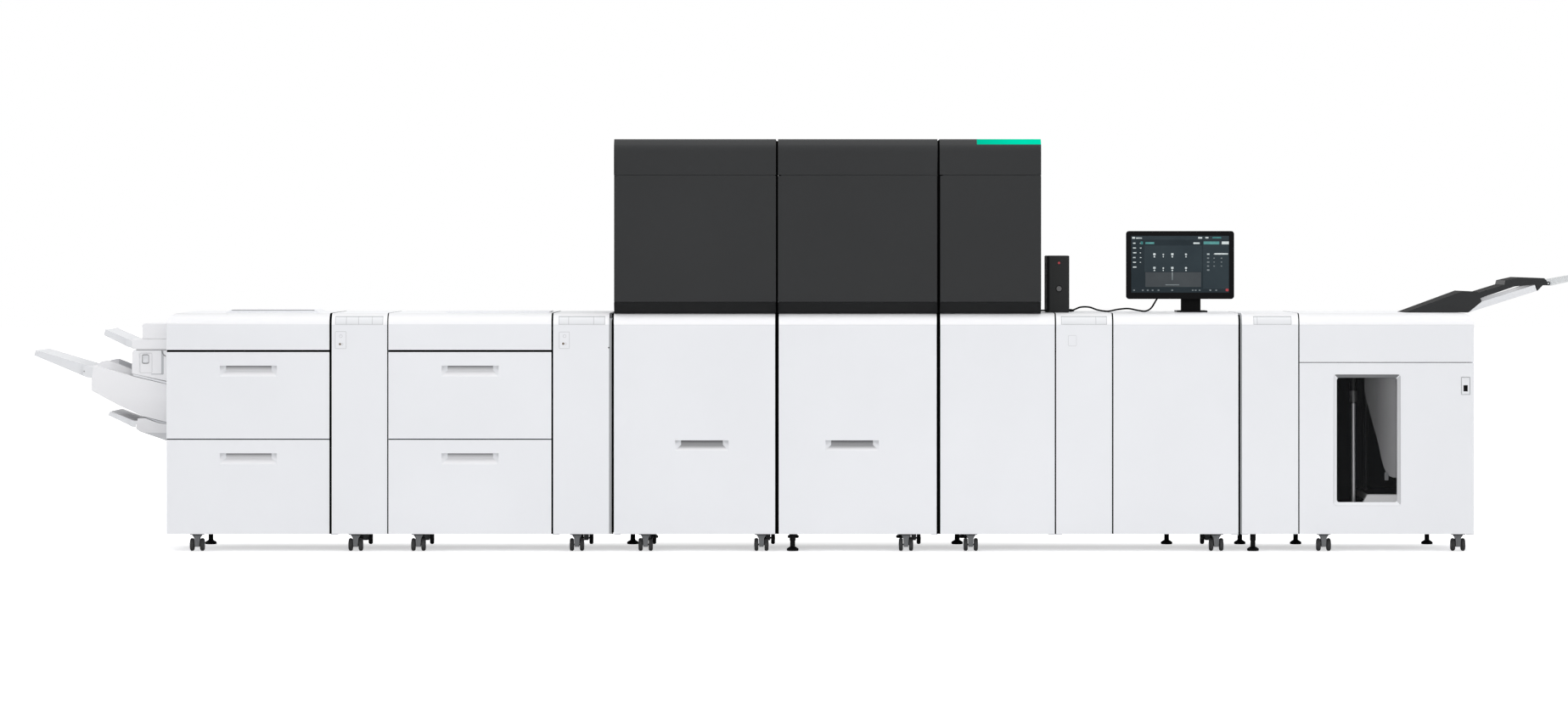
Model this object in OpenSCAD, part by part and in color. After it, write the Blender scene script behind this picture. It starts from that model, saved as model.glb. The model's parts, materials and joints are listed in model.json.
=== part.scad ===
/* [Cabinets] */
// Height of the cabinets' undersides above the floor
cabinet_z = 79; // [70:1:95]
// Height of the cabinets from underside to flat top
cabinet_h = 1000; // [960:5:1040]
// Width of one paper feeder
feeder_w = 741; // [700:1:780]
// Width of one narrow relay cabinet
relay_w = 256; // [240:1:280]
// Width of the left engine module
engine_left_w = 733; // [700:1:760]
// Width of the middle engine module
engine_mid_w = 722; // [700:1:760]
// Width of the end engine module's base
engine_end_w = 522; // [500:1:540]
// Width of the exit cabinet
exit_w = 567; // [540:1:600]
// Width of the stacker cabinet
stacker_w = 791; // [760:1:820]
// Depth of the feeders, relays and exit cabinet
feeder_d = 762; // [740:1:790]
// Depth of the engine modules
engine_d = 1110; // [1080:5:1150]
// Depth of the stacker
stacker_d = 725; // [710:1:750]
// Side panels, back panels and bottoms
panel_t = 18; // [14:1:20]
// Doors and drawer fronts
door_t = 30; // [28:1:34]
// Radius along the top front edges
front_r = 50; // [44:1:54]

/* [Gaps between units] */
// Seam between cabinets bolted together
seam = 3; // [2.8:0.1:4]
// Gap in front of the engine
entry_gap = 21; // [12:1:30]
// Gap between engine modules
engine_seam = 9.5; // [6:0.5:14]
// Gap behind the exit cabinet
exit_gap = 16; // [8:1:24]

/* [Paper drawers] */
// Height of the lower drawer's front above the cabinet's underside
lower_front_h = 430; // [415:1:440]
// Height from the underside to the bottom edge of the top cover
cover_z_in = 831; // [822:1:845]
// Gap under the top cover
cover_gap = 6; // [5:0.5:9]
// Gap between two drawer fronts
drawer_gap = 3; // [2:0.5:5]
// Height of the drawer tray's walls
tray_wall_h = 250; // [200:5:255]
// Height of the tray above the lower edge of its front
tray_lift = 26; // [22:1:32]
// Sheet metal of trays and plates
sheet_t = 4; // [3:0.5:5]
// Thickness of a runner
rail_t = 8; // [6:0.5:12]
// Width of a grip recess
grip_w = 258; // [220:2:280]
// Height of a grip recess
grip_h = 49; // [42:1:54]
// Depth of a grip recess
grip_depth = 22; // [16:1:24]
// Drop from the drawer front's top to its grip
grip_drop = 63; // [50:1:80]

/* [Engine towers] */
// Height of a tower
tower_h = 789; // [760:1:820]
// Depth of a tower
tower_d = 1000; // [960:5:1060]
// Width of the end tower
tower_end_w = 459; // [440:1:480]
// Height of the slanted foot band
band_h = 50; // [44:1:60]
// Set-back of the foot band at the bottom
band_back = 26; // [16:1:34]
// Height of the hood over the door
hood_h = 163; // [150:1:180]
// Depth of the opening hood
hood_d = 260; // [220:5:300]
// Radius on the hood's front top edge
hood_r = 56; // [50:1:60]
// Thickness of the hood
hood_t = 18; // [16:1:20]
// Length of the status light from the tower's right end
light_w = 290; // [240:5:340]
// Height of the status light
light_h = 25; // [20:1:32]
// Width of an engine door's grip
engine_grip_w = 242; // [220:2:260]
// Height of an engine door's grip
engine_grip_h = 46; // [40:1:52]
// Grip top above the cabinet's underside
engine_grip_z = 424; // [400:2:450]
// Grip centre from the edge at the middle gap
engine_grip_x = 335; // [310:5:350]

/* [Imaging parts] */
// Radius of a toner cartridge
cartridge_r = 52; // [44:1:56]
// Length of a toner cartridge
cartridge_l = 420; // [380:10:460]
// Radius of an imaging drum
drum_r = 42; // [36:1:50]
// Radius of a belt roller
belt_roller_r = 30; // [24:1:36]
// Radius of a fusing roller
fuser_r = 45; // [38:1:55]

/* [Stacker] */
// Height from the underside to the seam over the door
stacker_seam_in = 777; // [760:1:800]
// Width of the window
window_w = 273; // [250:1:290]
// Height of the window
window_h = 564; // [520:2:590]
// Bottom of the window above the cabinet's underside
window_z_in = 144; // [130:1:170]
// Window's left edge from the stacker's left side
window_x_in = 171; // [165:1:190]
// Width of the rim round the window
rim_w = 15; // [10:1:20]
// Depth of the rim round the window
rim_depth = 9; // [6:1:12]
// Thickness of the lifting tray
lift_tray_t = 30; // [24:1:36]
// Height of the lifting tray's top above the cabinet's underside
lift_tray_z_in = 178; // [160:1:200]
// Radius of a guide rod
rod_r = 9.5; // [8:0.5:12]

/* [Console] */
// Width of the console box
console_w = 102; // [90:1:115]
// Height of the console box
console_h = 260; // [240:2:280]
// Depth of the console box
console_d = 240; // [200:5:260]
// Width of the monitor
monitor_w = 495; // [460:5:530]
// Height of the monitor
monitor_h = 312; // [290:2:330]
// Thickness of the monitor
monitor_t = 42; // [34:1:50]
// Width of the monitor's neck
neck_w = 90; // [80:1:100]
// Diameter of the monitor's cable
cable_d = 8; // [7:0.5:9]

/* [Running gear] */
// Radius of a caster wheel
wheel_r = 29; // [24:0.5:30]
// Width of one wheel of a twin caster
wheel_w = 18; // [13:0.5:18]
// Width over a twin caster's two wheels
caster_w = 64; // [64:1:72]
// Radius of a levelling foot's pad
pad_r = 27; // [24:1:31]
// Distance from the front to the front casters
front_row_y = 60; // [50:1:90]
// Distance from the front to the rear casters
rear_row_y = 560; // [520:5:620]

/* [Hidden] */
$fn = 48;

// Clearances
fit = 0.3;
run_fit = 0.05;
over = 1;

// Pivot pins of doors and hoods
pin_r = 4;
pivot_inset = 6;
pin_reach = 12;
bracket_t = 4;
bracket_w = 30;
bracket_d = 70;
shell_y = door_t + 1;

// Heights
cabinet_top = cabinet_z + cabinet_h;
lip = 2;
cap_t = front_r + lip;
cap_z = cabinet_top - cap_t;
door_gap = 1.5;
tower_z = cabinet_top + fit;
tower_top = cabinet_top + tower_h;
band_z = cabinet_top + band_h;
hood_z = tower_top - hood_h;
cover_z = cabinet_z + cover_z_in;
split_z = cabinet_z + lower_front_h;
stacker_seam_z = cabinet_z + stacker_seam_in;

// Places along the line, from the first feeder's left side
x_feeder_1 = 0;
x_relay_1 = x_feeder_1 + feeder_w + seam;
x_feeder_2 = x_relay_1 + relay_w + seam;
x_relay_2 = x_feeder_2 + feeder_w + seam;
x_engine_left = x_relay_2 + relay_w + entry_gap;
x_engine_mid = x_engine_left + engine_left_w + engine_seam;
x_engine_end = x_engine_mid + engine_mid_w + engine_seam;
x_relay_3 = x_engine_end + engine_end_w + seam;
x_exit = x_relay_3 + relay_w + seam;
x_relay_4 = x_exit + exit_w + exit_gap;
x_stacker = x_relay_4 + relay_w + seam;
x_stacker_end = x_stacker + stacker_w;

// Bypass unit on the first feeder's left side: its outlines run left from that side
bypass_y = 150;
bypass_d = 430;
bypass_wall = 0.5;
housing_w = 177;
housing_upper_w = 130;
pod_h = 111;
pod_drop = 40;
pod_r = 22;
shelf_h = 46;
housing_upper_h = 70;
tray_reach = 362;
extension_reach = 625;
ear_t = 10;
ear_r = 9;
hinge_r = 4;

// Output tray on the stacker's right end: its outlines run right from that side
tray_y = 200;
tray_depth = 300;
tray_wall = 8;
flap_reach = 534;
flap_t = 4;

// Origin: bottom centre of everything but the free cable
x_left_end = -extension_reach;
x_right_end = x_stacker_end + flap_reach;
x_mid = (x_left_end + x_right_end) / 2;
y_mid = engine_d / 2;

// Building blocks
module placed() {
  translate([-x_mid, -y_mid, 0]) children();
}

module slab(at, size) {
  translate(at) cube(size);
}

module along_x(x, w) {
  translate([x, 0, 0]) rotate([90, 0, 90]) linear_extrude(w) children();
}

module along_y(y, d) {
  translate([0, y + d, 0]) rotate([90, 0, 0]) linear_extrude(d) children();
}

module rod_x(x, y, z, r, l) {
  translate([x, y, z]) rotate([0, 90, 0]) cylinder(r = r, h = l);
}

module rod_y(x, y, z, r, l) {
  translate([x, y + l, z]) rotate([90, 0, 0]) cylinder(r = r, h = l);
}

module rod_z(x, y, z, r, l) {
  translate([x, y, z]) cylinder(r = r, h = l);
}

// Rectangle from one corner to the other
module area(a, b) {
  translate(a) square(b - a);
}

// Rectangle with its upper left corner rounded
module round_left(a, b, r) {
  intersection() {
    area(a, b);
    union() {
      area([a.x + r, a.y], b);
      area(a, [b.x, b.y - r]);
      translate([a.x + r, b.y - r]) circle(r);
    }
  }
}

// Rectangle with its upper right corner rounded
module round_right(a, b, r) {
  intersection() {
    area(a, b);
    union() {
      area(a, [b.x - r, b.y]);
      area(a, [b.x, b.y - r]);
      translate([b.x - r, b.y - r]) circle(r);
    }
  }
}

// Rectangle with four round corners
module round_rect(a, b, r) {
  area([a.x + r, a.y], [b.x - r, b.y]);
  area([a.x, a.y + r], [b.x, b.y - r]);
  for (x = [a.x + r, b.x - r])
    for (y = [a.y + r, b.y - r])
      translate([x, y]) circle(r);
}

// Cabinet panels, each its own piece
module sides(x, w, d, z0, z1, y0 = shell_y) {
  for (px = [x, x + w - panel_t])
    slab([px, y0, z0], [panel_t, d - panel_t - fit - y0, z1 - z0]);
}

module back(x, w, d, z0, z1) {
  slab([x, d - panel_t, z0], [w, panel_t, z1 - z0]);
}

module bottom(x, w, d) {
  slab([x, shell_y, cabinet_z], [w, d - shell_y, panel_t]);
}

panel_z = cabinet_z + panel_t + fit;

function hinge_x(x, w, left) = left ? x + pivot_inset : x + w - pivot_inset;

module pivot_bore(x, z, l) {
  rod_z(x, pivot_inset, z, pin_r + run_fit, l);
}

module pivot_bracket(x, w, left, z) {
  difference() {
    slab([left ? x : x + w - bracket_w, 0, z], [bracket_w, bracket_d, bracket_t]);
    pivot_bore(hinge_x(x, w, left), z - over, bracket_t + over * 2);
  }
}

// Top slab with a rounded front edge
module cap(x, w, d) {
  along_x(x, w) round_left([0, cap_z], [d, cabinet_top], front_r);
}

// Closed base cabinet behind one door
module base_cabinet(x, w, d, left) {
  bottom(x, w, d);
  sides(x, w, d, panel_z, cap_z - fit);
  back(x, w, d, panel_z, cap_z - fit);
  difference() {
    cap(x, w, d);
    pivot_bore(hinge_x(x, w, left), cap_z - over, pin_reach + over * 2);
  }
  pivot_bracket(x, w, left, cabinet_z - fit - bracket_t);
}

// Docking blocks between two cabinets' side panels
dock_y = 330;
dock_d = 120;
dock_h = 60;
dock_shares = [0.2, 0.85];

module docks(x0, x1) {
  for (share = dock_shares)
    slab([x0 + fit, dock_y, cabinet_z + cabinet_h * share], [x1 - x0 - fit * 2, dock_d, dock_h]);
}

module pivot_pins(x, w, left, z0, z1, reach) {
  px = hinge_x(x, w, left);
  rod_z(px, pivot_inset, z0 - fit - bracket_t, pin_r, bracket_t + fit + over);
  rod_z(px, pivot_inset, z1 - over, pin_r, reach + over);
}

module base_door(x, w, left) {
  slab([x, 0, cabinet_z], [w, door_t, cap_z - door_gap - cabinet_z]);
  pivot_pins(x, w, left, cabinet_z, cap_z - door_gap, pin_reach);
}

// Finger grip: deep under its top edge, sloping out to the front below
grip_flat_share = 0.45;
grip_taper = 26;

module grip_cut(cx, z, w, h) {
  intersection() {
    along_x(cx - w / 2, w)
      polygon([
        [-over, z], [grip_depth, z], [grip_depth, z - h * grip_flat_share], [0, z - h], [-over, z - h]
      ]);
    translate([0, 0, z - h - over])
      linear_extrude(h + over * 2)
        polygon([
          [cx - w / 2, -over], [cx + w / 2, -over], [cx + w / 2, 0],
          [cx + w / 2 - grip_taper, grip_depth], [cx - w / 2 + grip_taper, grip_depth], [cx - w / 2, 0]
        ]);
  }
}

// Paper feeders
module leaf_hinges(x, w, d, z, on_cover) {
  for (hx = [x + w * hinge_share, x + w * (1 - hinge_share) - hinge_l])
    translate([hx, d, z])
      if (on_cover) cover_knuckle(); else cabinet_knuckles();
}

hinge_share = 0.12;
hinge_l = 88;
knuckle_r = 7;
leaf_t = 2.5;
leaf_h = 30;
barrel_y = knuckle_r + fit;
barrel_z = -cover_gap / 2;

// Middle knuckle, fixed to the cover
module cover_knuckle() {
  x = hinge_l / 3 + fit;
  w = hinge_l / 3 - fit * 2;
  difference() {
    union() {
      rod_x(x, barrel_y, barrel_z, knuckle_r, w);
      slab([x, fit, barrel_z], [w, leaf_t, leaf_h]);
      slab([x, -over, over], [w, leaf_t + fit + over, leaf_h + barrel_z - over]);
    }
    rod_x(x - over, barrel_y, barrel_z, pin_r + run_fit, w + over * 2);
  }
}

// Outer knuckles and the pin, fixed to the cabinet's back
module cabinet_knuckles() {
  low_z = barrel_z - knuckle_r - over;
  slab([0, fit, low_z - leaf_h], [hinge_l, leaf_t, leaf_h]);
  for (x = [0, hinge_l * 2 / 3]) {
    rod_x(x, barrel_y, barrel_z, knuckle_r, hinge_l / 3);
    slab([x, fit, low_z - over], [hinge_l / 3, leaf_t, barrel_z - low_z + over]);
  }
  rod_x(hinge_l / 3 - over, barrel_y, barrel_z, pin_r, hinge_l / 3 + over * 2);
}

tray_back_gap = 20;
shelf_t = 6;
tray_x_in = panel_t + rail_t + fit * 2;
tray_z_in = tray_lift;
tray_l = feeder_d - door_t - fit - panel_t - tray_back_gap;
head_gap = 20;
head_roller_r = 22;
head_x_in = 150;
head_w = 60;
head_t = 30;
head_bar_share = 0.8;
head_hanger_shares = [0.15, 0.7];
head_roller_shares = [0.3, 0.5];

upper_z = split_z + drawer_gap / 2;

module runners(x, z0) {
  for (px = [x + panel_t + fit, x + feeder_w - panel_t - fit - rail_t])
    slab([px, shell_y, z0 + tray_z_in + sheet_t * 4], [rail_t, tray_l - tray_back_gap, sheet_t * 8]);
}

module feed_head(x, z0) {
  roller_z = z0 + tray_z_in + tray_wall_h + head_gap + head_roller_r;
  back_y = feeder_d - panel_t - fit;
  hx = x + feeder_w - head_x_in;
  bar_z = roller_z + head_roller_r + over;
  slab([hx, back_y - tray_l * head_bar_share, bar_z], [head_w, tray_l * head_bar_share, head_t]);
  for (share = head_hanger_shares) {
    slab([hx + head_w / 2 - pin_r * 2, back_y - tray_l * share, roller_z - pin_r * 2],
         [pin_r * 4, sheet_t, bar_z - roller_z + pin_r * 2 + over]);
  }
  rod_y(hx + head_w / 2, back_y - tray_l * head_hanger_shares[1], roller_z, pin_r,
        tray_l * (head_hanger_shares[1] - head_hanger_shares[0]) + sheet_t);
  for (share = head_roller_shares)
    rod_y(hx + head_w / 2, back_y - tray_l * share, roller_z, head_roller_r, head_w);
}

module feeder_cabinet(x) {
  side_top = cover_z - cover_gap;
  bottom(x, feeder_w, feeder_d);
  sides(x, feeder_w, feeder_d, panel_z, side_top);
  back(x, feeder_w, feeder_d, panel_z, side_top);
  slab([x + panel_t + fit, shell_y, split_z - shelf_t - drawer_gap],
       [feeder_w - panel_t * 2 - fit * 2, feeder_d - panel_t - fit - shell_y, shelf_t]);
  runners(x, cabinet_z);
  runners(x, upper_z);
  feed_head(x, cabinet_z);
  feed_head(x, upper_z);
  leaf_hinges(x, feeder_w, feeder_d, cover_z, false);
}

// Cover with a hollow underside, a rounded front and, at the line's end, a rounded left side
module top_cover(x, end_round) {
  difference() {
    intersection() {
      along_x(x, feeder_w) round_left([0, cover_z], [feeder_d, cabinet_top], front_r);
      along_y(0, feeder_d)
        if (end_round) round_left([x, cover_z], [x + feeder_w, cabinet_top], front_r);
        else area([x, cover_z], [x + feeder_w, cabinet_top]);
    }
    slab([x + panel_t, panel_t, cover_z - over],
         [feeder_w - panel_t * 2, feeder_d - panel_t * 2, cabinet_top - panel_t - cover_z + over]);
  }
  leaf_hinges(x, feeder_w, feeder_d, cover_z, true);
}

pad_y = 150;
pad_d = 300;
pad_h = 14;
pad_flare = 28;
pad_x_in = 248;
pad_w = 436;

module top_pad(x) {
  along_y(pad_y, pad_d)
    polygon([
      [x + pad_x_in, cabinet_top - over], [x + pad_x_in, cabinet_top],
      [x + pad_x_in + pad_flare, cabinet_top + pad_h],
      [x + pad_x_in + pad_w - pad_flare, cabinet_top + pad_h],
      [x + pad_x_in + pad_w, cabinet_top], [x + pad_x_in + pad_w, cabinet_top - over]
    ]);
}

low_pad_h = 7;
low_pad_x_in = 252;

module low_pad(x) {
  slab([x + low_pad_x_in, pad_y, cabinet_top - over],
       [feeder_w - low_pad_x_in - panel_t, pad_d, low_pad_h + over]);
}

module drawer(x, z0, z1) {
  tray_w = feeder_w - tray_x_in * 2;
  tray_z = z0 + tray_z_in;
  y0 = door_t + fit;
  difference() {
    slab([x, 0, z0], [feeder_w, door_t, z1 - z0]);
    grip_cut(x + feeder_w / 2, z1 - grip_drop, grip_w, grip_h);
  }
  slab([x + tray_x_in, y0, tray_z], [tray_w, tray_l, sheet_t]);
  for (px = [x + tray_x_in, x + feeder_w - tray_x_in - sheet_t])
    slab([px, y0, tray_z + sheet_t + fit], [sheet_t, tray_l - sheet_t - fit, tray_wall_h - sheet_t - fit]);
  slab([x + tray_x_in, y0 + tray_l - sheet_t, tray_z + sheet_t + fit],
       [tray_w, sheet_t, tray_wall_h - sheet_t - fit]);
}

plate_gap = 3;

module lift_plate(x, z0) {
  in_x = tray_x_in + sheet_t + plate_gap;
  y0 = door_t + fit + plate_gap;
  slab([x + in_x, y0, z0 + tray_z_in + sheet_t + fit],
       [feeder_w - in_x * 2, tray_l - sheet_t - plate_gap * 2 - fit, sheet_t]);
}

// Engine towers
tower_door_gap = 4.3;
bracket_thin = 3;
tower_shell_z = band_z + fit;
tower_side_top = hood_z - tower_door_gap;
cheek_y = hood_r + over;
hood_pivot_y = hood_d - hood_t / 2;
hood_pivot_z = tower_top - hood_t / 2;
hood_rear_gap = 5;
shelf_depth = 520;

module hood_profile() {
  difference() {
    round_left([0, hood_z], [hood_d, tower_top], hood_r);
    area([hood_t, hood_z - over], [hood_d + over, tower_top - hood_t]);
  }
}

module tower_band(x, w, left) {
  difference() {
    along_x(x, w)
      polygon([[band_back, tower_z], [lip, band_z], [tower_d, band_z], [tower_d, tower_z]]);
    pivot_bore(hinge_x(x, w, left), band_z - pin_reach - over, pin_reach + over * 2);
  }
}

module tower_shell(x, w, left, hood_moves) {
  inner = w - panel_t * 2 - fit * 2;
  tower_band(x, w, left);
  sides(x, w, tower_d, tower_shell_z, tower_side_top);
  back(x, w, tower_d, tower_shell_z, tower_top);
  difference() {
    sides(x, w, tower_d, hood_z, tower_top, cheek_y);
    if (hood_moves)
      rod_x(x - over, hood_pivot_y, hood_pivot_z, pin_r + run_fit, w + over * 2);
  }
  slab([x + panel_t + fit, hood_d + hood_rear_gap, tower_top - hood_t],
       [inner, tower_d - panel_t - fit - hood_d - hood_rear_gap, hood_t]);
  difference() {
    slab([left ? x : x + w - bracket_w, 0, tower_side_top + fit * 2], [bracket_w, bracket_d, bracket_thin]);
    pivot_bore(hinge_x(x, w, left), tower_side_top - over, tower_door_gap + over * 2);
  }
}

module cartridge_shelf(x, w) {
  slab([x + panel_t + fit, cheek_y, hood_z - fit], [w - panel_t * 2 - fit * 2, shelf_depth, sheet_t * 2]);
}

module tower_door(x, w, left) {
  px = hinge_x(x, w, left);
  z0 = band_z + door_gap;
  slab([x, 0, z0], [w, door_t, tower_side_top - z0]);
  rod_z(px, pivot_inset, band_z - pin_reach, pin_r, pin_reach + door_gap + over);
  rod_z(px, pivot_inset, tower_side_top - over, pin_r, fit * 2 + bracket_thin + over);
}

module hood(x, w) {
  pin_l = panel_t * 2 / 3;
  inner_x = x + panel_t + fit;
  difference() {
    along_x(x, w) hood_profile();
    for (px = [x - over, x + w - panel_t - fit])
      slab([px, cheek_y - fit, hood_z - over], [panel_t + fit + over, hood_d, hood_h + over * 2]);
  }
  for (px = [inner_x - pin_l, x + w - panel_t - fit - over])
    rod_x(px, hood_pivot_y, hood_pivot_z, pin_r, pin_l + over);
}

module light_zone(grow) {
  slab([x_engine_end + tower_end_w - light_w - grow, -over, tower_top - light_h - grow],
       [light_w + grow + over, hood_r, light_h + grow + over]);
}

// Toner, drums, belts and fusing rollers inside the engine
tower_units = [[x_engine_left, engine_left_w], [x_engine_mid, engine_mid_w]];
unit_shares = [0.2, 0.5, 0.8];
shaft_r = 8;
drum_z_in = 330;
drum_z = band_z + drum_z_in;
drum_y = 220;
drum_l = 420;
belt_t = 3;
belt_z = drum_z - drum_r - belt_roller_r - belt_t - fit;
belt_end_share = 0.14;

module cartridges() {
  for (u = tower_units)
    for (share = unit_shares)
      rod_y(u.x + u.y * share, cheek_y + sheet_t, hood_z - fit + sheet_t * 2 + fit + cartridge_r,
            cartridge_r, cartridge_l);
}

module carried_roller(x, z, r) {
  rod_y(x, drum_y, z, r, drum_l);
  rod_y(x, drum_y + drum_l - over, z, shaft_r, tower_d - panel_t - fit - drum_y - drum_l + over);
}

module drums() {
  for (u = tower_units)
    for (share = unit_shares)
      carried_roller(u.x + u.y * share, drum_z, drum_r);
}

module belts() {
  for (u = tower_units) {
    xa = u.x + u.y * belt_end_share;
    xb = u.x + u.y * (1 - belt_end_share);
    difference() {
      along_y(drum_y, drum_l) belt_outline(xa, xb, belt_roller_r + belt_t);
      along_y(drum_y - over, drum_l + over * 2) belt_outline(xa, xb, belt_roller_r + fit);
    }
    for (x = [xa, xb]) carried_roller(x, belt_z, belt_roller_r);
  }
}

module belt_outline(xa, xb, r) {
  area([xa, belt_z - r], [xb, belt_z + r]);
  for (x = [xa, xb]) translate([x, belt_z]) circle(r);
}

fuser_z_in = 620;
fuser_z = cabinet_z + fuser_z_in;

module fusers() {
  x = x_engine_end + engine_end_w / 2;
  for (z = [fuser_z - fuser_r - fit / 2, fuser_z + fuser_r + fit / 2]) {
    rod_y(x, drum_y, z, fuser_r, drum_l);
    rod_y(x, drum_y + drum_l - over, z, shaft_r, engine_d - panel_t - fit - drum_y - drum_l + over);
  }
}

// Stacker
door_top_z = stacker_seam_z - drawer_gap / 2;
door_corner_r = 12;
switch_in = 38;
switch_z_in = 660;
switch_z = cabinet_z + switch_z_in;
switch_plate_w = 42;
switch_plate_h = 81;
switch_plate_drop = 11;
rocker_w = 19;
rocker_h = 27;
rocker_t = 12;
rocker_pin_r = 1.5;
rocker_gap = 0.9;
plate_depth = 2;
mast_y = 150;
mast_in = 91;
rear_rod_y = 420;
rear_rod_in = 179;
header_t = 20;
header_y = 100;
header_d = 380;
collar_r = 18;
collar_share = 0.78;
lift_in = 146;
lift_y = 60;
lift_d = 560;
lift_side_gap = 4;
window_t = 5;

window_a = [x_stacker + window_x_in, cabinet_z + window_z_in];
window_b = window_a + [window_w, window_h];
rim = [rim_w, rim_w];

module rocker_pocket(x, y, z, w, h) {
  slab([x - w / 2 - fit, y - over, z - h / 2 - rocker_gap],
       [w + fit * 2, plate_depth + rocker_t + rocker_gap * 3 + over, h + rocker_gap * 2]);
  rod_x(x - w / 2 - rocker_pin_r * 2, y + plate_depth + rocker_t / 2 + rocker_gap, z,
        rocker_pin_r + run_fit, w + rocker_pin_r * 4);
}

module rocker(x, y, z, w, h) {
  ry = y + plate_depth + rocker_gap;
  bend = rocker_t / 4;
  translate([x - w / 2, 0, 0]) rotate([90, 0, 90]) linear_extrude(w)
    polygon([
      [ry + bend, z - h / 2], [ry, z - h / 2 + bend], [ry + bend / 2, z], [ry, z + h / 2 - bend],
      [ry + bend, z + h / 2], [ry + rocker_t - bend, z + h / 2], [ry + rocker_t - bend, z - h / 2]
    ]);
  rod_x(x - w / 2 - rocker_pin_r * 3 / 2, ry + rocker_t / 2, z, rocker_pin_r, w + rocker_pin_r * 3);
}

module stacker_shell() {
  front_z = stacker_seam_z + drawer_gap / 2;
  inner_x = x_stacker + panel_t + fit;
  inner = stacker_w - panel_t * 2 - fit * 2;
  bottom(x_stacker, stacker_w, stacker_d);
  sides(x_stacker, stacker_w, stacker_d, panel_z, cap_z - fit);
  back(x_stacker, stacker_w, stacker_d, panel_z, cap_z - fit);
  difference() {
    slab([x_stacker, 0, front_z], [stacker_w, door_t, cap_z - fit - front_z]);
    pivot_bore(hinge_x(x_stacker, stacker_w, false), front_z - over, pin_reach + over * 2);
  }
  intersection() {
    cap(x_stacker, stacker_w, stacker_d);
    along_y(0, stacker_d) round_right([x_stacker, cap_z], [x_stacker_end, cabinet_top], front_r);
  }
  slab([inner_x, header_y, stacker_seam_z - header_t], [inner, header_d, header_t]);
  pivot_bracket(x_stacker, stacker_w, false, cabinet_z - fit - bracket_t);
}

switch_plate_z = switch_z - switch_plate_h / 2 + switch_plate_drop;

module stacker_front() {
  difference() {
    slab([x_stacker, 0, cabinet_z], [stacker_w, door_t, door_top_z - cabinet_z]);
    along_y(-over, rim_depth + over) round_rect(window_a - rim, window_b + rim, door_corner_r);
    along_y(-over, door_t + over * 2) round_rect(window_a, window_b, door_corner_r);
    slab([x_stacker_end - switch_in - switch_plate_w / 2, -over, switch_plate_z],
         [switch_plate_w, plate_depth + over, switch_plate_h]);
    rocker_pocket(x_stacker_end - switch_in, 0, switch_z, rocker_w, rocker_h);
  }
  pivot_pins(x_stacker, stacker_w, false, cabinet_z, door_top_z, drawer_gap + pin_reach);
}

module window_pane() {
  gap = [fit, fit];
  along_y(rim_depth + fit, window_t)
    round_rect(window_a + gap, window_b - gap, door_corner_r);
}

module lifting_tray() {
  top_z = cabinet_z + lift_tray_z_in;
  x0 = window_a.x + lift_in;
  difference() {
    slab([x0, lift_y, top_z - lift_tray_t],
         [x_stacker_end - panel_t - lift_side_gap - x0, lift_d, lift_tray_t]);
    rod_z(window_a.x + rear_rod_in, rear_rod_y, top_z - lift_tray_t - over, rod_r + run_fit,
          lift_tray_t + over * 2);
  }
}

module guide_rods() {
  rod_l = stacker_seam_z - header_t - fit - panel_z;
  rod_z(window_a.x + mast_in, mast_y, panel_z, rod_r, rod_l);
  rod_z(window_a.x + mast_in, mast_y, panel_z + rod_l * collar_share, collar_r, rod_l * (1 - collar_share));
  rod_z(window_a.x + rear_rod_in, rear_rod_y, panel_z, rod_r, rod_l);
}

// Output tray: outlines are shares of its reach past the stacker and its rise over the top
out_reach = 360;
out_rise = 161;
wedge_tip_share = [-0.8, 0];
wedge_top_share = [-0.06, 0.609];
wedge_end_share = [0.125, 0.59];
heel_share = [0.172, 0.311];
foot_share = [0.003, 0];
arm_shares = [
  [0.14, 0.395], [0.115, 0.55], [0.46, 0.789], [0.473, 0.907], [0.66, 1], [0.967, 0.975],
  [1, 0.894], [0.881, 0.615], [0.853, 0.795], [0.592, 0.739]
];
tray_end_shares = [[0.845, 0.783], [0.872, 0.615]];
flap_pivot_share = [1.0194, 0.826];
flap_shares = [[0, -0.2], [0.09, -0.25], [1, 0.55], [1, 1], [0.09, 0.36], [0, 0.2]];
flap_l = flap_reach - out_reach * flap_pivot_share.x;
flap_rise = 42;
ear_foot_share = 0.9;

function out_pt(share) =
  [x_stacker_end + out_reach * share.x, cabinet_top + fit + out_rise * share.y];

flap_pivot = out_pt(flap_pivot_share);

module tray_ears(pivot, y0, d, to_x) {
  for (y = [y0, y0 + d - ear_t])
    difference() {
      along_y(y, ear_t) {
        translate(pivot) circle(ear_r);
        area([min(pivot.x, to_x), pivot.y - ear_r + fit], [max(pivot.x, to_x), pivot.y + ear_r - fit]);
      }
      rod_y(pivot.x, y - over, pivot.y, hinge_r + run_fit, ear_t + over * 2);
    }
}

module tray_pins(pivot, y0, d) {
  rod_y(pivot.x, y0 + over, pivot.y, hinge_r, d - over * 2);
  rod_y(pivot.x, y0 + ear_t + fit, pivot.y, ear_r - over, d - ear_t * 2 - fit * 2);
}

module out_tray_base() {
  along_y(tray_y, tray_depth) {
    polygon([for (s = [wedge_tip_share, wedge_top_share, wedge_end_share, heel_share, foot_share]) out_pt(s)]);
    polygon([for (s = arm_shares) out_pt(s)]);
  }
  tray_ears(flap_pivot, tray_y, tray_depth, x_stacker_end + out_reach * ear_foot_share);
}

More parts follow.
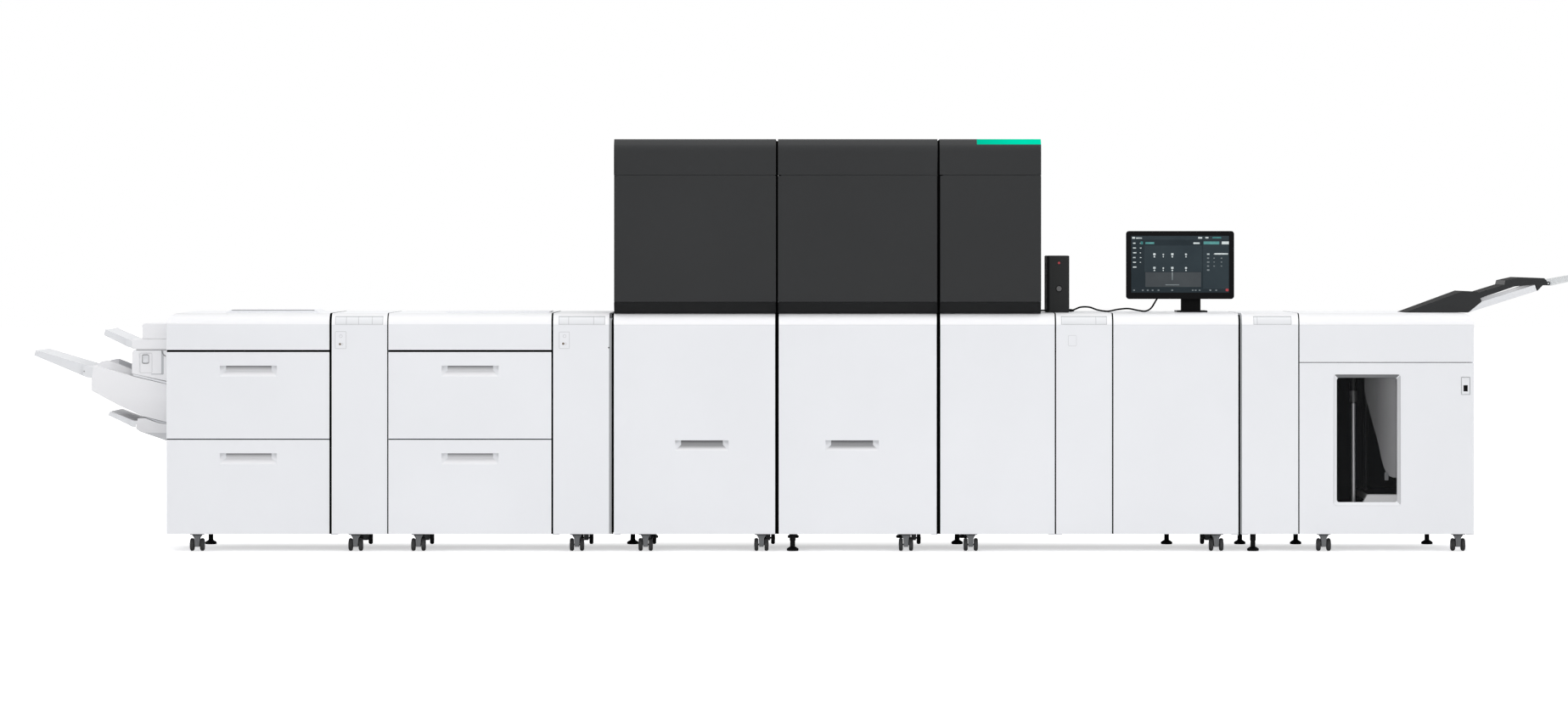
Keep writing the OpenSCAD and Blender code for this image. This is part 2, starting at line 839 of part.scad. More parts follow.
module out_tray() {
  shift = [fit * 2, 0];
  outline = concat([out_pt(foot_share) + shift, out_pt(heel_share) + shift],
                   [for (s = tray_end_shares) out_pt(s)]);
  difference() {
    along_y(tray_y, tray_depth) polygon(outline);
    translate([0, 0, tray_wall * 3 / 2])
      along_y(tray_y + tray_wall, tray_depth - tray_wall * 2) polygon(outline);
  }
}

module out_flap() {
  y0 = tray_y + ear_t + fit;
  d = tray_depth - ear_t * 2 - fit * 2;
  outline = [for (s = flap_shares) flap_pivot + [flap_l * s.x, flap_rise * s.y]];
  difference() {
    along_y(y0, d) polygon(outline);
    translate([0, 0, flap_t]) along_y(y0 + flap_t, d - flap_t * 2) polygon(outline);
  }
  tray_pins(flap_pivot, tray_y, tray_depth);
}

// Bypass unit: outlines are shares of each piece's own reach and height
shelf_z_in = 835;
shelf_z = cabinet_z + shelf_z_in;
upper_round = 14;
body_h = 264;
body_z_in = 497;
body_z = cabinet_z + body_z_in;
body_shares = [
  [0.033, 1], [0, 0.97], [0, 0.56], [0.343, 0.307], [0.642, 0.121], [1, 0], [1, 0.655], [0.523, 0.81]
];
fence_shares = [[0.21, 0.9], [0.21, 1.08], [0.51, 0.91], [0.51, 0.78]];
fence_t = 12;
fence_in = 60;
pivot_out = 10;
pivot_drop = 12;
extension_pivot = [-tray_reach - pivot_out, body_z + body_h - pivot_drop];
extension_l = extension_reach + extension_pivot.x;
extension_rise = 81;
extension_shares = [[0, 0.1], [-0.968, 1], [-1, 0.7], [-0.04, -0.55], [0, -0.1]];
small_l = 120;
small_rise = 57;
upper_pivot_rise = 33;
upper_pivot = [-housing_w - pivot_out, shelf_z + upper_pivot_rise];
upper_shares = [[0, 0.14], [-0.94, 1], [-1, 0.52], [-0.05, -0.45], [0, -0.14]];
lower_h = 106;
lower_w = 158;
lower_z_in = 415;
lower_z = cabinet_z + lower_z_in;
lower_body_shares = [[0, 0.53], [0.05, 0.98], [0.25, 1], [0.64, 0.78], [1, 0.72], [1, 0], [0.13, 0.39]];
lower_pivot_rise = 84;
lower_pivot = [-lower_w - pivot_out, lower_z + lower_pivot_rise];
lower_shares = [[0, 0.14], [-0.92, 0.9], [-1, 0.6], [-0.05, -0.35], [0, -0.14]];
skirt_t = 6;
deck_t = 6;
bypass_switch_w = 23;
bypass_switch_h = 38;
bypass_switch_in = 115;
bypass_switch_drop = 46;
bypass_switch_x = -bypass_switch_in;
bypass_switch_z = shelf_z - bypass_switch_drop;
recess_w = 58;
recess_h = 89;
recess_drop = 14;

module bypass_switch_recess() {
  slab([bypass_switch_x - recess_w / 2, bypass_y - over, bypass_switch_z - recess_h / 2 - recess_drop],
       [recess_w, plate_depth + over, recess_h]);
  rocker_pocket(bypass_switch_x, bypass_y, bypass_switch_z, bypass_switch_w, bypass_switch_h);
}

module bypass_case() {
  right = -bypass_wall;
  pod_z = shelf_z - fit - pod_h - pod_drop;
  top_z = shelf_z + shelf_h + fit;
  along_y(bypass_y, bypass_d)
    round_left([-housing_upper_w, top_z], [right, top_z + housing_upper_h], upper_round);
  along_y(bypass_y, bypass_d) area([-housing_w, shelf_z], [right, shelf_z + shelf_h]);
  tray_ears(upper_pivot, bypass_y, bypass_d, -housing_w + over);
  difference() {
    along_y(bypass_y, bypass_d) round_left([-housing_w, pod_z], [right, shelf_z - fit], pod_r);
    along_y(bypass_y - over, bypass_d + over * 2)
      polygon([
        [-housing_w - over, pod_z - over], [-housing_w - over, pod_z + pod_drop],
        [right + over, pod_z], [right + over, pod_z - over]
      ]);
    bypass_switch_recess();
  }
  along_y(bypass_y, bypass_d)
    polygon([for (s = lower_body_shares) [-lower_w + (lower_w - bypass_wall) * s.x, lower_z + lower_h * s.y]]);
  tray_ears(lower_pivot, bypass_y, bypass_d, -lower_w + ear_r);
}

module bypass_body() {
  w = tray_reach - bypass_wall;
  along_y(bypass_y, bypass_d)
    polygon([for (s = body_shares) [-tray_reach + w * s.x, body_z + body_h * s.y]]);
  for (y = [bypass_y + fence_in, bypass_y + bypass_d - fence_in - fence_t])
    along_y(y, fence_t)
      polygon([for (s = fence_shares) [-tray_reach + w * s.x, body_z + body_h * s.y]]);
  tray_ears(extension_pivot, bypass_y, bypass_d, -tray_reach + ear_r);
}

module folding_tray(pivot, l, rise, shares) {
  y0 = bypass_y + ear_t + fit;
  d = bypass_d - ear_t * 2 - fit * 2;
  outline = [for (s = shares) pivot + [l * s.x, rise * s.y]];
  difference() {
    along_y(y0, d) polygon(outline);
    translate([0, 0, -deck_t]) along_y(y0 + skirt_t, d - skirt_t * 2) polygon(outline);
  }
  tray_pins(pivot, bypass_y, bypass_d);
}

// Console box and monitor
console_y = 200;
console_gap = 36;
console_x = x_engine_end + tower_end_w + console_gap;
console_round = 6;
console_base_z = cabinet_top + fit;
button_r = 11.5;
button_z_in = 109;
button_z = console_base_z + button_z_in;
button_out = 3;
button_l = 12;
gland_r = 7;
gland_l = 6;
gland_z_in = 9;
gland_z = console_base_z + gland_z_in;
gland_y = 260;
lead_r = 4;
monitor_x_in = 79;
monitor_x = x_exit + monitor_x_in;
monitor_y = 300;
monitor_lift = 61;
monitor_z = cabinet_top + monitor_lift;
monitor_round = 14;
bezel_t = 18;
bulge_in = 60;
screen_side = 23;
screen_top = 22;
screen_bottom = 29;
screen_depth = 1;
neck_in = 302;
neck_t = 20;
base_t = 8;
base_w = 138;
base_d = 180;
tilt_back = 22;
tilt_y = monitor_y + monitor_t + tilt_back;
tilt_z = monitor_z + monitor_h / 2;
barrel_r = 10;
barrel_w = 30;
lug_w = 14;
lug_h = 16;
neck_back = 7;
neck_y = tilt_y + neck_back;

module console_case() {
  low = [console_x, console_base_z];
  difference() {
    along_y(console_y, console_d) round_rect(low, low + [console_w, console_h], console_round);
    rod_y(console_x + console_w * button_share, console_y - over, button_z, button_r + fit,
          button_l + over * 2);
  }
  rod_x(console_x + console_w - over, gland_y, gland_z, gland_r, gland_l + over);
  rod_x(x_engine_end + tower_end_w + fit, gland_y, gland_z, lead_r,
        console_x - x_engine_end - tower_end_w + over);
}

button_share = 0.54;

module power_button() {
  rod_y(console_x + console_w * button_share, console_y - button_out, button_z, button_r, button_l);
}

module stand() {
  cx = monitor_x + neck_in;
  slab([cx - base_w / 2, neck_y - base_d / 2, cabinet_top + fit], [base_w, base_d, base_t]);
  slab([cx - neck_w / 2, neck_y, cabinet_top + fit + over],
       [neck_w, neck_t, tilt_z - lug_h - cabinet_top - fit - over]);
  slab([cx - barrel_w / 2, tilt_y, tilt_z - lug_h - over], [barrel_w, neck_y + neck_t - tilt_y, lug_h + over]);
  rod_x(cx - barrel_w / 2, tilt_y, tilt_z, barrel_r, barrel_w);
  rod_x(cx - barrel_w / 2 - lug_w, tilt_y, tilt_z, pin_r, barrel_w + lug_w * 2);
  rod_x(cx - neck_w / 2 - gland_l, neck_y + neck_t / 2, tilt_z - lug_z, gland_r, gland_l + over);
}

lug_z = 102;

module display() {
  cx = monitor_x + neck_in;
  a = [monitor_x, monitor_z];
  b = [monitor_x + monitor_w, monitor_z + monitor_h];
  inset = [bulge_in, bulge_in];
  difference() {
    along_y(monitor_y, bezel_t) round_rect(a, b, monitor_round);
    along_y(monitor_y - over, screen_depth + over)
      area(a + [screen_side, screen_bottom], b - [screen_side, screen_top]);
  }
  along_y(monitor_y + bezel_t - over, monitor_t - bezel_t + over)
    round_rect(a + inset, b - inset, monitor_round);
  for (x = [cx - barrel_w / 2 - fit - lug_w, cx + barrel_w / 2 + fit])
    difference() {
      slab([x, monitor_y + monitor_t - over, tilt_z - lug_h / 2],
           [lug_w, tilt_y + lug_h / 2 - monitor_y - monitor_t + over, lug_h]);
      rod_x(x - over, tilt_y, tilt_z, pin_r + run_fit, lug_w + over * 2);
    }
}

// Monitor cable from the console box to the neck: shares of its span, and heights in cable diameters
cable_start = [console_x + console_w + gland_l, gland_y, gland_z];
cable_end = [monitor_x + neck_in - neck_w / 2 - gland_l, neck_y + neck_t / 2, tilt_z - lug_z];
cable_shares = [
  [0.0333, 0, 1.5], [0.0959, 0.0165, 3], [0.1742, 0.0661, 3], [0.2524, 0.1322, 1.375], [0.3405, 0.2149, 0.625],
  [0.4286, 0.314, 1.625], [0.5264, 0.4298, 2.125], [0.6145, 0.562, 1.125], [0.6869, 0.7107, 0.625],
  [0.7417, 0.843, 2.375], [0.7906, 0.942, 7.125], [0.8395, 0.9917, 11.625], [0.908, 1, 14]
];
cable_span = cable_end - cable_start;
cable_route = concat(
  [cable_start],
  [
    for (s = cable_shares)
      [cable_start.x + cable_span.x * s.x, cable_start.y + cable_span.y * s.y, cabinet_top + cable_d * s.z]
  ],
  [cable_end]
);
cable_sides = 8;
cable_steps = 3;

function route_at(i) = cable_route[max(0, min(len(cable_route) - 1, i))];
function blend(a, b, c, d, t) =
  (b * 2 + (c - a) * t + (a * 2 - b * 5 + c * 4 - d) * t * t + (b * 3 - a - c * 3 + d) * t * t * t) / 2;
cable_line = [
  for (i = [0 : len(cable_route) - 2])
    for (k = [0 : cable_steps - 1])
      blend(route_at(i - 1), route_at(i), route_at(i + 1), route_at(i + 2), k / cable_steps),
  cable_end
];
function unit(v) = v / norm(v);
function along(i) =
  i == 0 || i == len(cable_line) - 1 ? [1, 0, 0] : unit(cable_line[i + 1] - cable_line[i - 1]);

module cable_tube() {
  n = len(cable_line);
  rings = [
    for (i = [0 : n - 1])
      let (t = along(i), s = unit(cross(t, [0, 1, 0])), u = cross(s, t))
        for (k = [0 : cable_sides - 1])
          let (a = 360 * k / cable_sides)
            cable_line[i] + (s * cos(a) + u * sin(a)) * cable_d / 2
  ];
  walls = [
    for (i = [0 : n - 2])
      for (k = [0 : cable_sides - 1])
        let (j = (k + 1) % cable_sides, a = i * cable_sides, b = a + cable_sides)
          each [[a + k, b + k, a + j], [a + j, b + k, b + j]]
  ];
  first_end = [for (k = [0 : cable_sides - 1]) k];
  last_end = [for (k = [cable_sides - 1 : -1 : 0]) (n - 1) * cable_sides + k];
  polyhedron(rings, concat(walls, [first_end], [last_end]), convexity = 4);
}

// Casters and levelling feet
fork_plate = 60;
fork_plate_t = 5;
fork_top_w = 44;
fork_neck_w = 25;
fork_neck_over = 1;
fork_low_w = 20;
fork_d = 40;
axle_r = 4;
under_z = cabinet_z - fit;
feeder_caster_in = 133;
relay_caster_share = 0.42;
engine_caster_in = 142;
near_in = 66;
exit_caster_in = 96;
stacker_caster_in = 116;
rear_in = 40;
foot_in = 55;
deep_row_in = 60;

front_casters = [
  x_feeder_1 + feeder_caster_in, x_relay_1 + relay_w * relay_caster_share,
  x_feeder_2 + feeder_caster_in, x_relay_2 + relay_w * relay_caster_share,
  x_engine_left + engine_caster_in, x_engine_mid - engine_seam - near_in,
  x_engine_end - engine_seam - engine_caster_in, x_engine_end + engine_caster_in,
  x_exit + exit_w - exit_caster_in, x_stacker + stacker_caster_in, x_stacker_end - near_in
];
rear_casters = [
  x_relay_1 + relay_w * relay_caster_share, x_feeder_2 + feeder_caster_in,
  x_relay_2 + relay_w / 2, x_engine_left + engine_caster_in, x_engine_mid - engine_seam - rear_in,
  x_engine_end - engine_seam - exit_caster_in, x_exit + exit_w - exit_caster_in
];
front_feet = [x_engine_mid + near_in, x_relay_4 + foot_in];
rear_feet = [
  x_feeder_1 + feeder_caster_in, x_engine_left + near_in, x_engine_end + exit_caster_in,
  x_exit + exit_w / 2, x_relay_4 + rear_in, x_stacker + rear_in, x_stacker_end - engine_caster_in
];
deep_feet = [
  x_engine_left + engine_caster_in, x_engine_mid - engine_seam - near_in, x_engine_mid + near_in,
  x_engine_end - engine_seam - engine_caster_in, x_engine_end + engine_caster_in
];

module caster_fork(x, y) {
  low_z = wheel_r - fork_low_w / 2;
  neck_z = wheel_r * 2 + fork_neck_over;
  plate_z = under_z - fork_plate_t;
  slab([x - fork_plate / 2, y - fork_plate / 2, plate_z], [fork_plate, fork_plate, fork_plate_t]);
  difference() {
    along_y(y - fork_d / 2, fork_d)
      polygon([
        [x - fork_low_w / 2, low_z], [x + fork_low_w / 2, low_z], [x + fork_neck_w / 2, neck_z],
        [x + fork_top_w / 2, plate_z - fit], [x - fork_top_w / 2, plate_z - fit], [x - fork_neck_w / 2, neck_z]
      ]);
    rod_x(x - fork_top_w, y, wheel_r, axle_r + run_fit, fork_top_w * 2);
  }
}

module twin_wheel(x, y) {
  chamfer = wheel_w / 4;
  for (side = [0, 1])
    translate([x, y, wheel_r]) mirror([side, 0, 0]) rotate([0, 90, 0]) rotate_extrude()
      polygon([
        [0, caster_w / 2 - wheel_w], [wheel_r - chamfer, caster_w / 2 - wheel_w],
        [wheel_r, caster_w / 2 - wheel_w + chamfer], [wheel_r, caster_w / 2 - chamfer],
        [wheel_r - chamfer, caster_w / 2], [0, caster_w / 2]
      ]);
  rod_x(x - caster_w / 2 + over, y, wheel_r, axle_r, caster_w - over * 2);
}

foot_profile_shares = [
  [0, 0], [0.9, 0], [1, 0.04], [1, 0.13], [0.8, 0.18], [0.42, 0.26], [0.42, 0.6], [0.5, 0.6], [0.5, 1], [0, 1]
];

module levelling_foot(x, y) {
  translate([x, y, 0]) rotate_extrude()
    polygon([for (s = foot_profile_shares) [pad_r * s.x, under_z * s.y]]);
}

// Sub-parts
module feeder_1_cabinet() {
  color("whitesmoke") placed() {
    feeder_cabinet(x_feeder_1);
  }
}

module feeder_1_top_cover() {
  color("whitesmoke") placed() {
    top_cover(x_feeder_1, true);
    top_pad(x_feeder_1);
  }
}

module feeder_1_upper_drawer() {
  color("whitesmoke") placed() {
    drawer(x_feeder_1, upper_z, cover_z - cover_gap);
  }
}

module feeder_1_lower_drawer() {
  color("whitesmoke") placed() {
    drawer(x_feeder_1, cabinet_z, split_z - drawer_gap / 2);
  }
}

module feeder_1_upper_plate() {
  color("silver") placed() {
    lift_plate(x_feeder_1, upper_z);
  }
}

module feeder_1_lower_plate() {
  color("silver") placed() {
    lift_plate(x_feeder_1, cabinet_z);
  }
}

module feeder_2_cabinet() {
  color("whitesmoke") placed() {
    feeder_cabinet(x_feeder_2);
  }
}

module feeder_2_top_cover() {
  color("whitesmoke") placed() {
    top_cover(x_feeder_2, false);
    low_pad(x_feeder_2);
  }
}

module feeder_2_upper_drawer() {
  color("whitesmoke") placed() {
    drawer(x_feeder_2, upper_z, cover_z - cover_gap);
  }
}

module feeder_2_lower_drawer() {
  color("whitesmoke") placed() {
    drawer(x_feeder_2, cabinet_z, split_z - drawer_gap / 2);
  }
}

module feeder_2_upper_plate() {
  color("silver") placed() {
    lift_plate(x_feeder_2, upper_z);
  }
}

module feeder_2_lower_plate() {
  color("silver") placed() {
    lift_plate(x_feeder_2, cabinet_z);
  }
}

module relay_cabinets() {
  color("whitesmoke") placed() {
    for (x = [x_relay_1, x_relay_2, x_relay_3, x_relay_4])
      base_cabinet(x, relay_w, x == x_relay_4 ? stacker_d : feeder_d, true);
    docks(x_feeder_1 + feeder_w, x_relay_1);
    docks(x_relay_1 + relay_w, x_feeder_2);
    docks(x_feeder_2 + feeder_w, x_relay_2);
    docks(x_relay_2 + relay_w, x_engine_left);
    docks(x_engine_end + engine_end_w, x_relay_3);
    docks(x_relay_3 + relay_w, x_exit);
    docks(x_exit + exit_w, x_relay_4);
    docks(x_relay_4 + relay_w, x_stacker);
  }
}

module relay_1_door() {
  color("whitesmoke") placed() {
    base_door(x_relay_1, relay_w, true);
  }
}

module relay_2_door() {
  color("whitesmoke") placed() {
    base_door(x_relay_2, relay_w, true);
  }
}

module relay_3_door() {
  color("whitesmoke") placed() {
    base_door(x_relay_3, relay_w, true);
  }
}

module relay_4_door() {
  color("whitesmoke") placed() {
    base_door(x_relay_4, relay_w, true);
  }
}

module engine_bases() {
  color("whitesmoke") placed() {
    base_cabinet(x_engine_left, engine_left_w, engine_d, true);
    base_cabinet(x_engine_mid, engine_mid_w, engine_d, false);
    base_cabinet(x_engine_end, engine_end_w, engine_d, false);
    docks(x_engine_left + engine_left_w, x_engine_mid);
    docks(x_engine_mid + engine_mid_w, x_engine_end);
  }
}

module engine_left_door() {
  color("whitesmoke") placed() {
    difference() {
      base_door(x_engine_left, engine_left_w, true);
      grip_cut(x_engine_left + engine_left_w - engine_grip_x, cabinet_z + engine_grip_z,
               engine_grip_w, engine_grip_h);
    }
  }
}

module engine_mid_door() {
  color("whitesmoke") placed() {
    difference() {
      base_door(x_engine_mid, engine_mid_w, false);
      grip_cut(x_engine_mid + engine_grip_x, cabinet_z + engine_grip_z, engine_grip_w, engine_grip_h);
    }
  }
}

module engine_end_door() {
  color("whitesmoke") placed() {
    base_door(x_engine_end, engine_end_w, false);
  }
}

module tower_left() {
  color("dimgray") placed() {
    tower_shell(x_engine_left, engine_left_w, true, true);
    cartridge_shelf(x_engine_left, engine_left_w);
  }
}

module tower_mid() {
  color("dimgray") placed() {
    tower_shell(x_engine_mid, engine_mid_w, false, true);
    cartridge_shelf(x_engine_mid, engine_mid_w);
  }
}

module tower_end() {
  color("dimgray") placed() {
    tower_shell(x_engine_end, tower_end_w, false, false);
    difference() {
      along_x(x_engine_end, tower_end_w) hood_profile();
      for (x = [x_engine_end - over, x_engine_end + tower_end_w - panel_t - fit])
        slab([x, cheek_y - fit, hood_z - over], [panel_t + fit + over, hood_d, hood_h + over * 2]);
      light_zone(fit);
    }
  }
}

module tower_left_door() {
  color("dimgray") placed() {
    tower_door(x_engine_left, engine_left_w, true);
  }
}

module tower_mid_door() {
  color("dimgray") placed() {
    tower_door(x_engine_mid, engine_mid_w, false);
  }
}

module tower_end_door() {
  color("dimgray") placed() {
    tower_door(x_engine_end, tower_end_w, false);
  }
}

module toner_hood_left() {
  color("dimgray") placed() {
    hood(x_engine_left, engine_left_w);
  }
}

module toner_hood_mid() {
  color("dimgray") placed() {
    hood(x_engine_mid, engine_mid_w);
  }
}

module status_light() {
  color("mediumspringgreen") placed() {
    intersection() {
      along_x(x_engine_end, tower_end_w) hood_profile();
      light_zone(0);
    }
  }
}

module toner_cartridges() {
  color("black") placed() {
    cartridges();
  }
}

module imaging_drums() {
  color("darkgreen") placed() {
    drums();
  }
}

module transfer_belts() {
  color("saddlebrown") placed() {
    belts();
  }
}

module fuser_rollers() {
  color("silver") placed() {
    fusers();
  }
}

module exit_cabinet() {
  color("whitesmoke") placed() {
    base_cabinet(x_exit, exit_w, feeder_d, false);
  }
}

module exit_door() {
  color("whitesmoke") placed() {
    base_door(x_exit, exit_w, false);
  }
}

module stacker_cabinet() {
  color("whitesmoke") placed() {
    stacker_shell();
  }
}

module stacker_door() {
  color("whitesmoke") placed() {
    stacker_front();
  }
}

module stacker_window() {
  color("dimgray") placed() {
    window_pane();
  }
}

module stacker_lift_tray() {
  color("whitesmoke") placed() {
    lifting_tray();
  }
}

module stacker_guide_rods() {
  color("silver") placed() {
    guide_rods();
  }
}

module stacker_tray_base() {
  color("dimgray") placed() {
    out_tray_base();
  }
}

module stacker_tray() {
  color("whitesmoke") placed() {
    out_tray();
  }
}

module stacker_tray_flap() {
  color("lightgray") placed() {
    out_flap();
  }
}

module stacker_switch() {
  color("black") placed() {
    rocker(x_stacker_end - switch_in, 0, switch_z, rocker_w, rocker_h);
  }
}

module bypass_housing() {
  color("whitesmoke") placed() {
    bypass_case();
  }
}

module bypass_tray() {
  color("whitesmoke") placed() {
    bypass_body();
  }
}

module bypass_extension() {
  color("whitesmoke") placed() {
    folding_tray(extension_pivot, extension_l, extension_rise, extension_shares);
  }
}

module bypass_upper_tray() {
  color("whitesmoke") placed() {
    folding_tray(upper_pivot, small_l, small_rise, upper_shares);
  }
}

module bypass_lower_tray() {
  color("whitesmoke") placed() {
    folding_tray(lower_pivot, small_l, small_rise, lower_shares);
  }
}

module bypass_switch() {
  color("lightgray") placed() {
    rocker(bypass_switch_x, bypass_y, bypass_switch_z, bypass_switch_w, bypass_switch_h);
  }
}

module console_box() {
  color("black") placed() {
    console_case();
  }
}

module console_button() {
  color("lightgray") placed() {
    power_button();
  }
}

module monitor_stand() {
  color("black") placed() {
    stand();
  }
}

module monitor() {
  color("black") placed() {
    display();
  }
}

module monitor_cable() {
  color("black") placed() {
    cable_tube();
  }
}

module caster_forks() {
  color("dimgray") placed() {
    for (x = front_casters) caster_fork(x, front_row_y);
    for (x = rear_casters) caster_fork(x, rear_row_y);
  }
}

module front_caster_wheels() {
  color("black") placed() {
    for (x = front_casters) twin_wheel(x, front_row_y);
  }
}

module rear_caster_wheels() {
  color("black") placed() {
    for (x = rear_casters) twin_wheel(x, rear_row_y);
  }
}

module levelling_feet() {
  color("black") placed() {
    for (x = front_feet) levelling_foot(x, front_row_y);
    for (x = rear_feet) levelling_foot(x, rear_row_y);
    for (x = deep_feet) levelling_foot(x, engine_d - deep_row_in);
  }
}

feeder_1_cabinet();
feeder_1_top_cover();
feeder_1_upper_drawer();
feeder_1_lower_drawer();
feeder_1_upper_plate();
feeder_1_lower_plate();
feeder_2_cabinet();
feeder_2_top_cover();
feeder_2_upper_drawer();
feeder_2_lower_drawer();
feeder_2_upper_plate();
feeder_2_lower_plate();
relay_cabinets();
relay_1_door();
relay_2_door();
relay_3_door();
relay_4_door();
engine_bases();
engine_left_door();
engine_mid_door();
engine_end_door();
tower_left();
tower_mid();
tower_end();
tower_left_door();
tower_mid_door();
tower_end_door();
toner_hood_left();
toner_hood_mid();
status_light();
toner_cartridges();
imaging_drums();
transfer_belts();
fuser_rollers();
exit_cabinet();
exit_door();
stacker_cabinet();
stacker_door();
stacker_window();
stacker_lift_tray();
stacker_guide_rods();
stacker_tray_base();
stacker_tray();
stacker_tray_flap();
stacker_switch();
bypass_housing();
bypass_tray();
bypass_extension();
bypass_upper_tray();
bypass_lower_tray();
bypass_switch();
console_box();
console_button();
monitor_stand();
monitor();
monitor_cable();
caster_forks();
front_caster_wheels();
rear_caster_wheels();
levelling_feet();
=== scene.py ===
import json
import math

import bmesh
import bpy
from mathutils import Matrix, Vector
from mathutils.bvhtree import BVHTree

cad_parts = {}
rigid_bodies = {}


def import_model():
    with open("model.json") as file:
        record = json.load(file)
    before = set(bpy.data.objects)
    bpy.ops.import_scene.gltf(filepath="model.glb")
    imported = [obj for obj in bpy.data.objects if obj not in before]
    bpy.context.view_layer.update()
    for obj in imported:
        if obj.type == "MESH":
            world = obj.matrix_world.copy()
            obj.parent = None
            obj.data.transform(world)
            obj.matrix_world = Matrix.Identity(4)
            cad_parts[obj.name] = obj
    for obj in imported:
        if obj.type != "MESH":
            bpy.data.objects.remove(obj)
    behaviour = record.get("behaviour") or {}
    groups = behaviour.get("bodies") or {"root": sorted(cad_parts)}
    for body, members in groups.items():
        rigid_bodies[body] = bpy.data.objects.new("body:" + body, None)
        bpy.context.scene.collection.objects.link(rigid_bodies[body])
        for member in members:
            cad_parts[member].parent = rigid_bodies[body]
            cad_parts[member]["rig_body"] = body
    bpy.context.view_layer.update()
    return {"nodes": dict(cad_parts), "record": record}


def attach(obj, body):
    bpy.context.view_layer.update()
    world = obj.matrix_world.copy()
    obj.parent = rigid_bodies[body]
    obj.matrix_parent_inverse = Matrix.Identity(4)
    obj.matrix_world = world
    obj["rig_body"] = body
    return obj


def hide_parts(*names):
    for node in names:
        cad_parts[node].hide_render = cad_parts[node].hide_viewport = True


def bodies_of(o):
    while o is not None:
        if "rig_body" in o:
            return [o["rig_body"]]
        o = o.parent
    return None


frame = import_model()

MM = 0.001
ORIGIN = Vector((2.912, 0.555, 0.0))
FRONT = -ORIGIN.y

# Places along the line and heights, in millimetres from the first feeder's front lower left corner
FEEDERS = (0, 1003)
FEEDER_W = 741
RELAYS = (744, 1747, 4023, 4865)
ENGINES = ((2024, 733), (2766.5, 722), (3498, 522))
TOWERS = {"left": (2024, 2757), "mid": (2766.5, 3488.5), "end": (3498, 3957)}
EXIT_X, EXIT_W = 4282, 567
STACKER_X, STACKER_END = 5124, 5915
CABINET_D, ENGINE_D, STACKER_D, TOWER_D = 762, 1110, 725, 1000
UNDER_Z, CAP_Z, TOP_Z = 79, 1027, 1079
BAND_Z, TOWER_TOP, TOWER_ROUND = 1129, 1868, 56
ROUND_Y, ROUND_Z, ROUND_R = 50, 1029, 50


def at(x, y, z):
    """A place in millimetres, in the row frame in metres."""
    return Vector((x, y, z)) * MM - ORIGIN


# Camera
IMAGE_W = 1847
PIXEL = 3.84 * MM
CAMERA_FAR = 22.0
HORIZON_Z = 1.38

lens = bpy.data.cameras.new("camera")
camera = bpy.data.objects.new("camera", lens)
bpy.context.collection.objects.link(camera)
camera.location = (-0.017, FRONT - CAMERA_FAR, HORIZON_Z)
camera.rotation_euler = (math.radians(90), 0, 0)
lens.sensor_width = 36
lens.lens = lens.sensor_width * CAMERA_FAR / (IMAGE_W * PIXEL)
lens.shift_x = -26.4 / IMAGE_W
lens.shift_y = -135.3 / IMAGE_W
lens.clip_end = 200
bpy.context.scene.camera = camera


# Finishes
def two_tone(nodes, links, place, scale, dark, light):
    """Cloudy colour between two tones."""
    cloud = nodes.new("ShaderNodeTexNoise")
    cloud.inputs["Scale"].default_value = scale
    cloud.inputs["Detail"].default_value = 3
    links.new(place.outputs["Object"], cloud.inputs["Vector"])
    ramp = nodes.new("ShaderNodeValToRGB")
    ramp.color_ramp.elements[0].position = 0.35
    ramp.color_ramp.elements[0].color = (*dark, 1)
    ramp.color_ramp.elements[1].position = 0.65
    ramp.color_ramp.elements[1].color = (*light, 1)
    links.new(cloud.outputs["Fac"], ramp.inputs["Fac"])
    return ramp


def surface(
    name, dark, light, roughness, grain=700, relief=0.05, metallic=0.0, stretch=None, cloud=1.3,
    **sockets,
):
    """A moulded, painted or brushed surface: cloudy tone, grain in the gloss and a fine relief."""
    mat = bpy.data.materials.new(name)
    mat.use_nodes = True
    nodes, links = mat.node_tree.nodes, mat.node_tree.links
    shader = nodes["Principled BSDF"]
    place = nodes.new("ShaderNodeTexCoord")
    tone = two_tone(nodes, links, place, cloud, dark, light)
    links.new(tone.outputs["Color"], shader.inputs["Base Color"])
    fine = nodes.new("ShaderNodeTexNoise")
    fine.inputs["Scale"].default_value = grain
    fine.inputs["Detail"].default_value = 2
    if stretch:
        mapping = nodes.new("ShaderNodeMapping")
        mapping.inputs["Scale"].default_value = stretch
        links.new(place.outputs["Object"], mapping.inputs["Vector"])
        links.new(mapping.outputs["Vector"], fine.inputs["Vector"])
    else:
        links.new(place.outputs["Object"], fine.inputs["Vector"])
    gloss = nodes.new("ShaderNodeMapRange")
    gloss.inputs["To Min"].default_value = roughness - 0.05
    gloss.inputs["To Max"].default_value = roughness + 0.05
    links.new(fine.outputs["Fac"], gloss.inputs["Value"])
    links.new(gloss.outputs["Result"], shader.inputs["Roughness"])
    bump = nodes.new("ShaderNodeBump")
    bump.inputs["Strength"].default_value = relief
    bump.inputs["Distance"].default_value = 0.0004
    links.new(fine.outputs["Fac"], bump.inputs["Height"])
    links.new(bump.outputs["Normal"], shader.inputs["Normal"])
    shader.inputs["Metallic"].default_value = metallic
    for socket, value in sockets.items():
        shader.inputs[socket.replace("_", " ")].default_value = value
    return mat


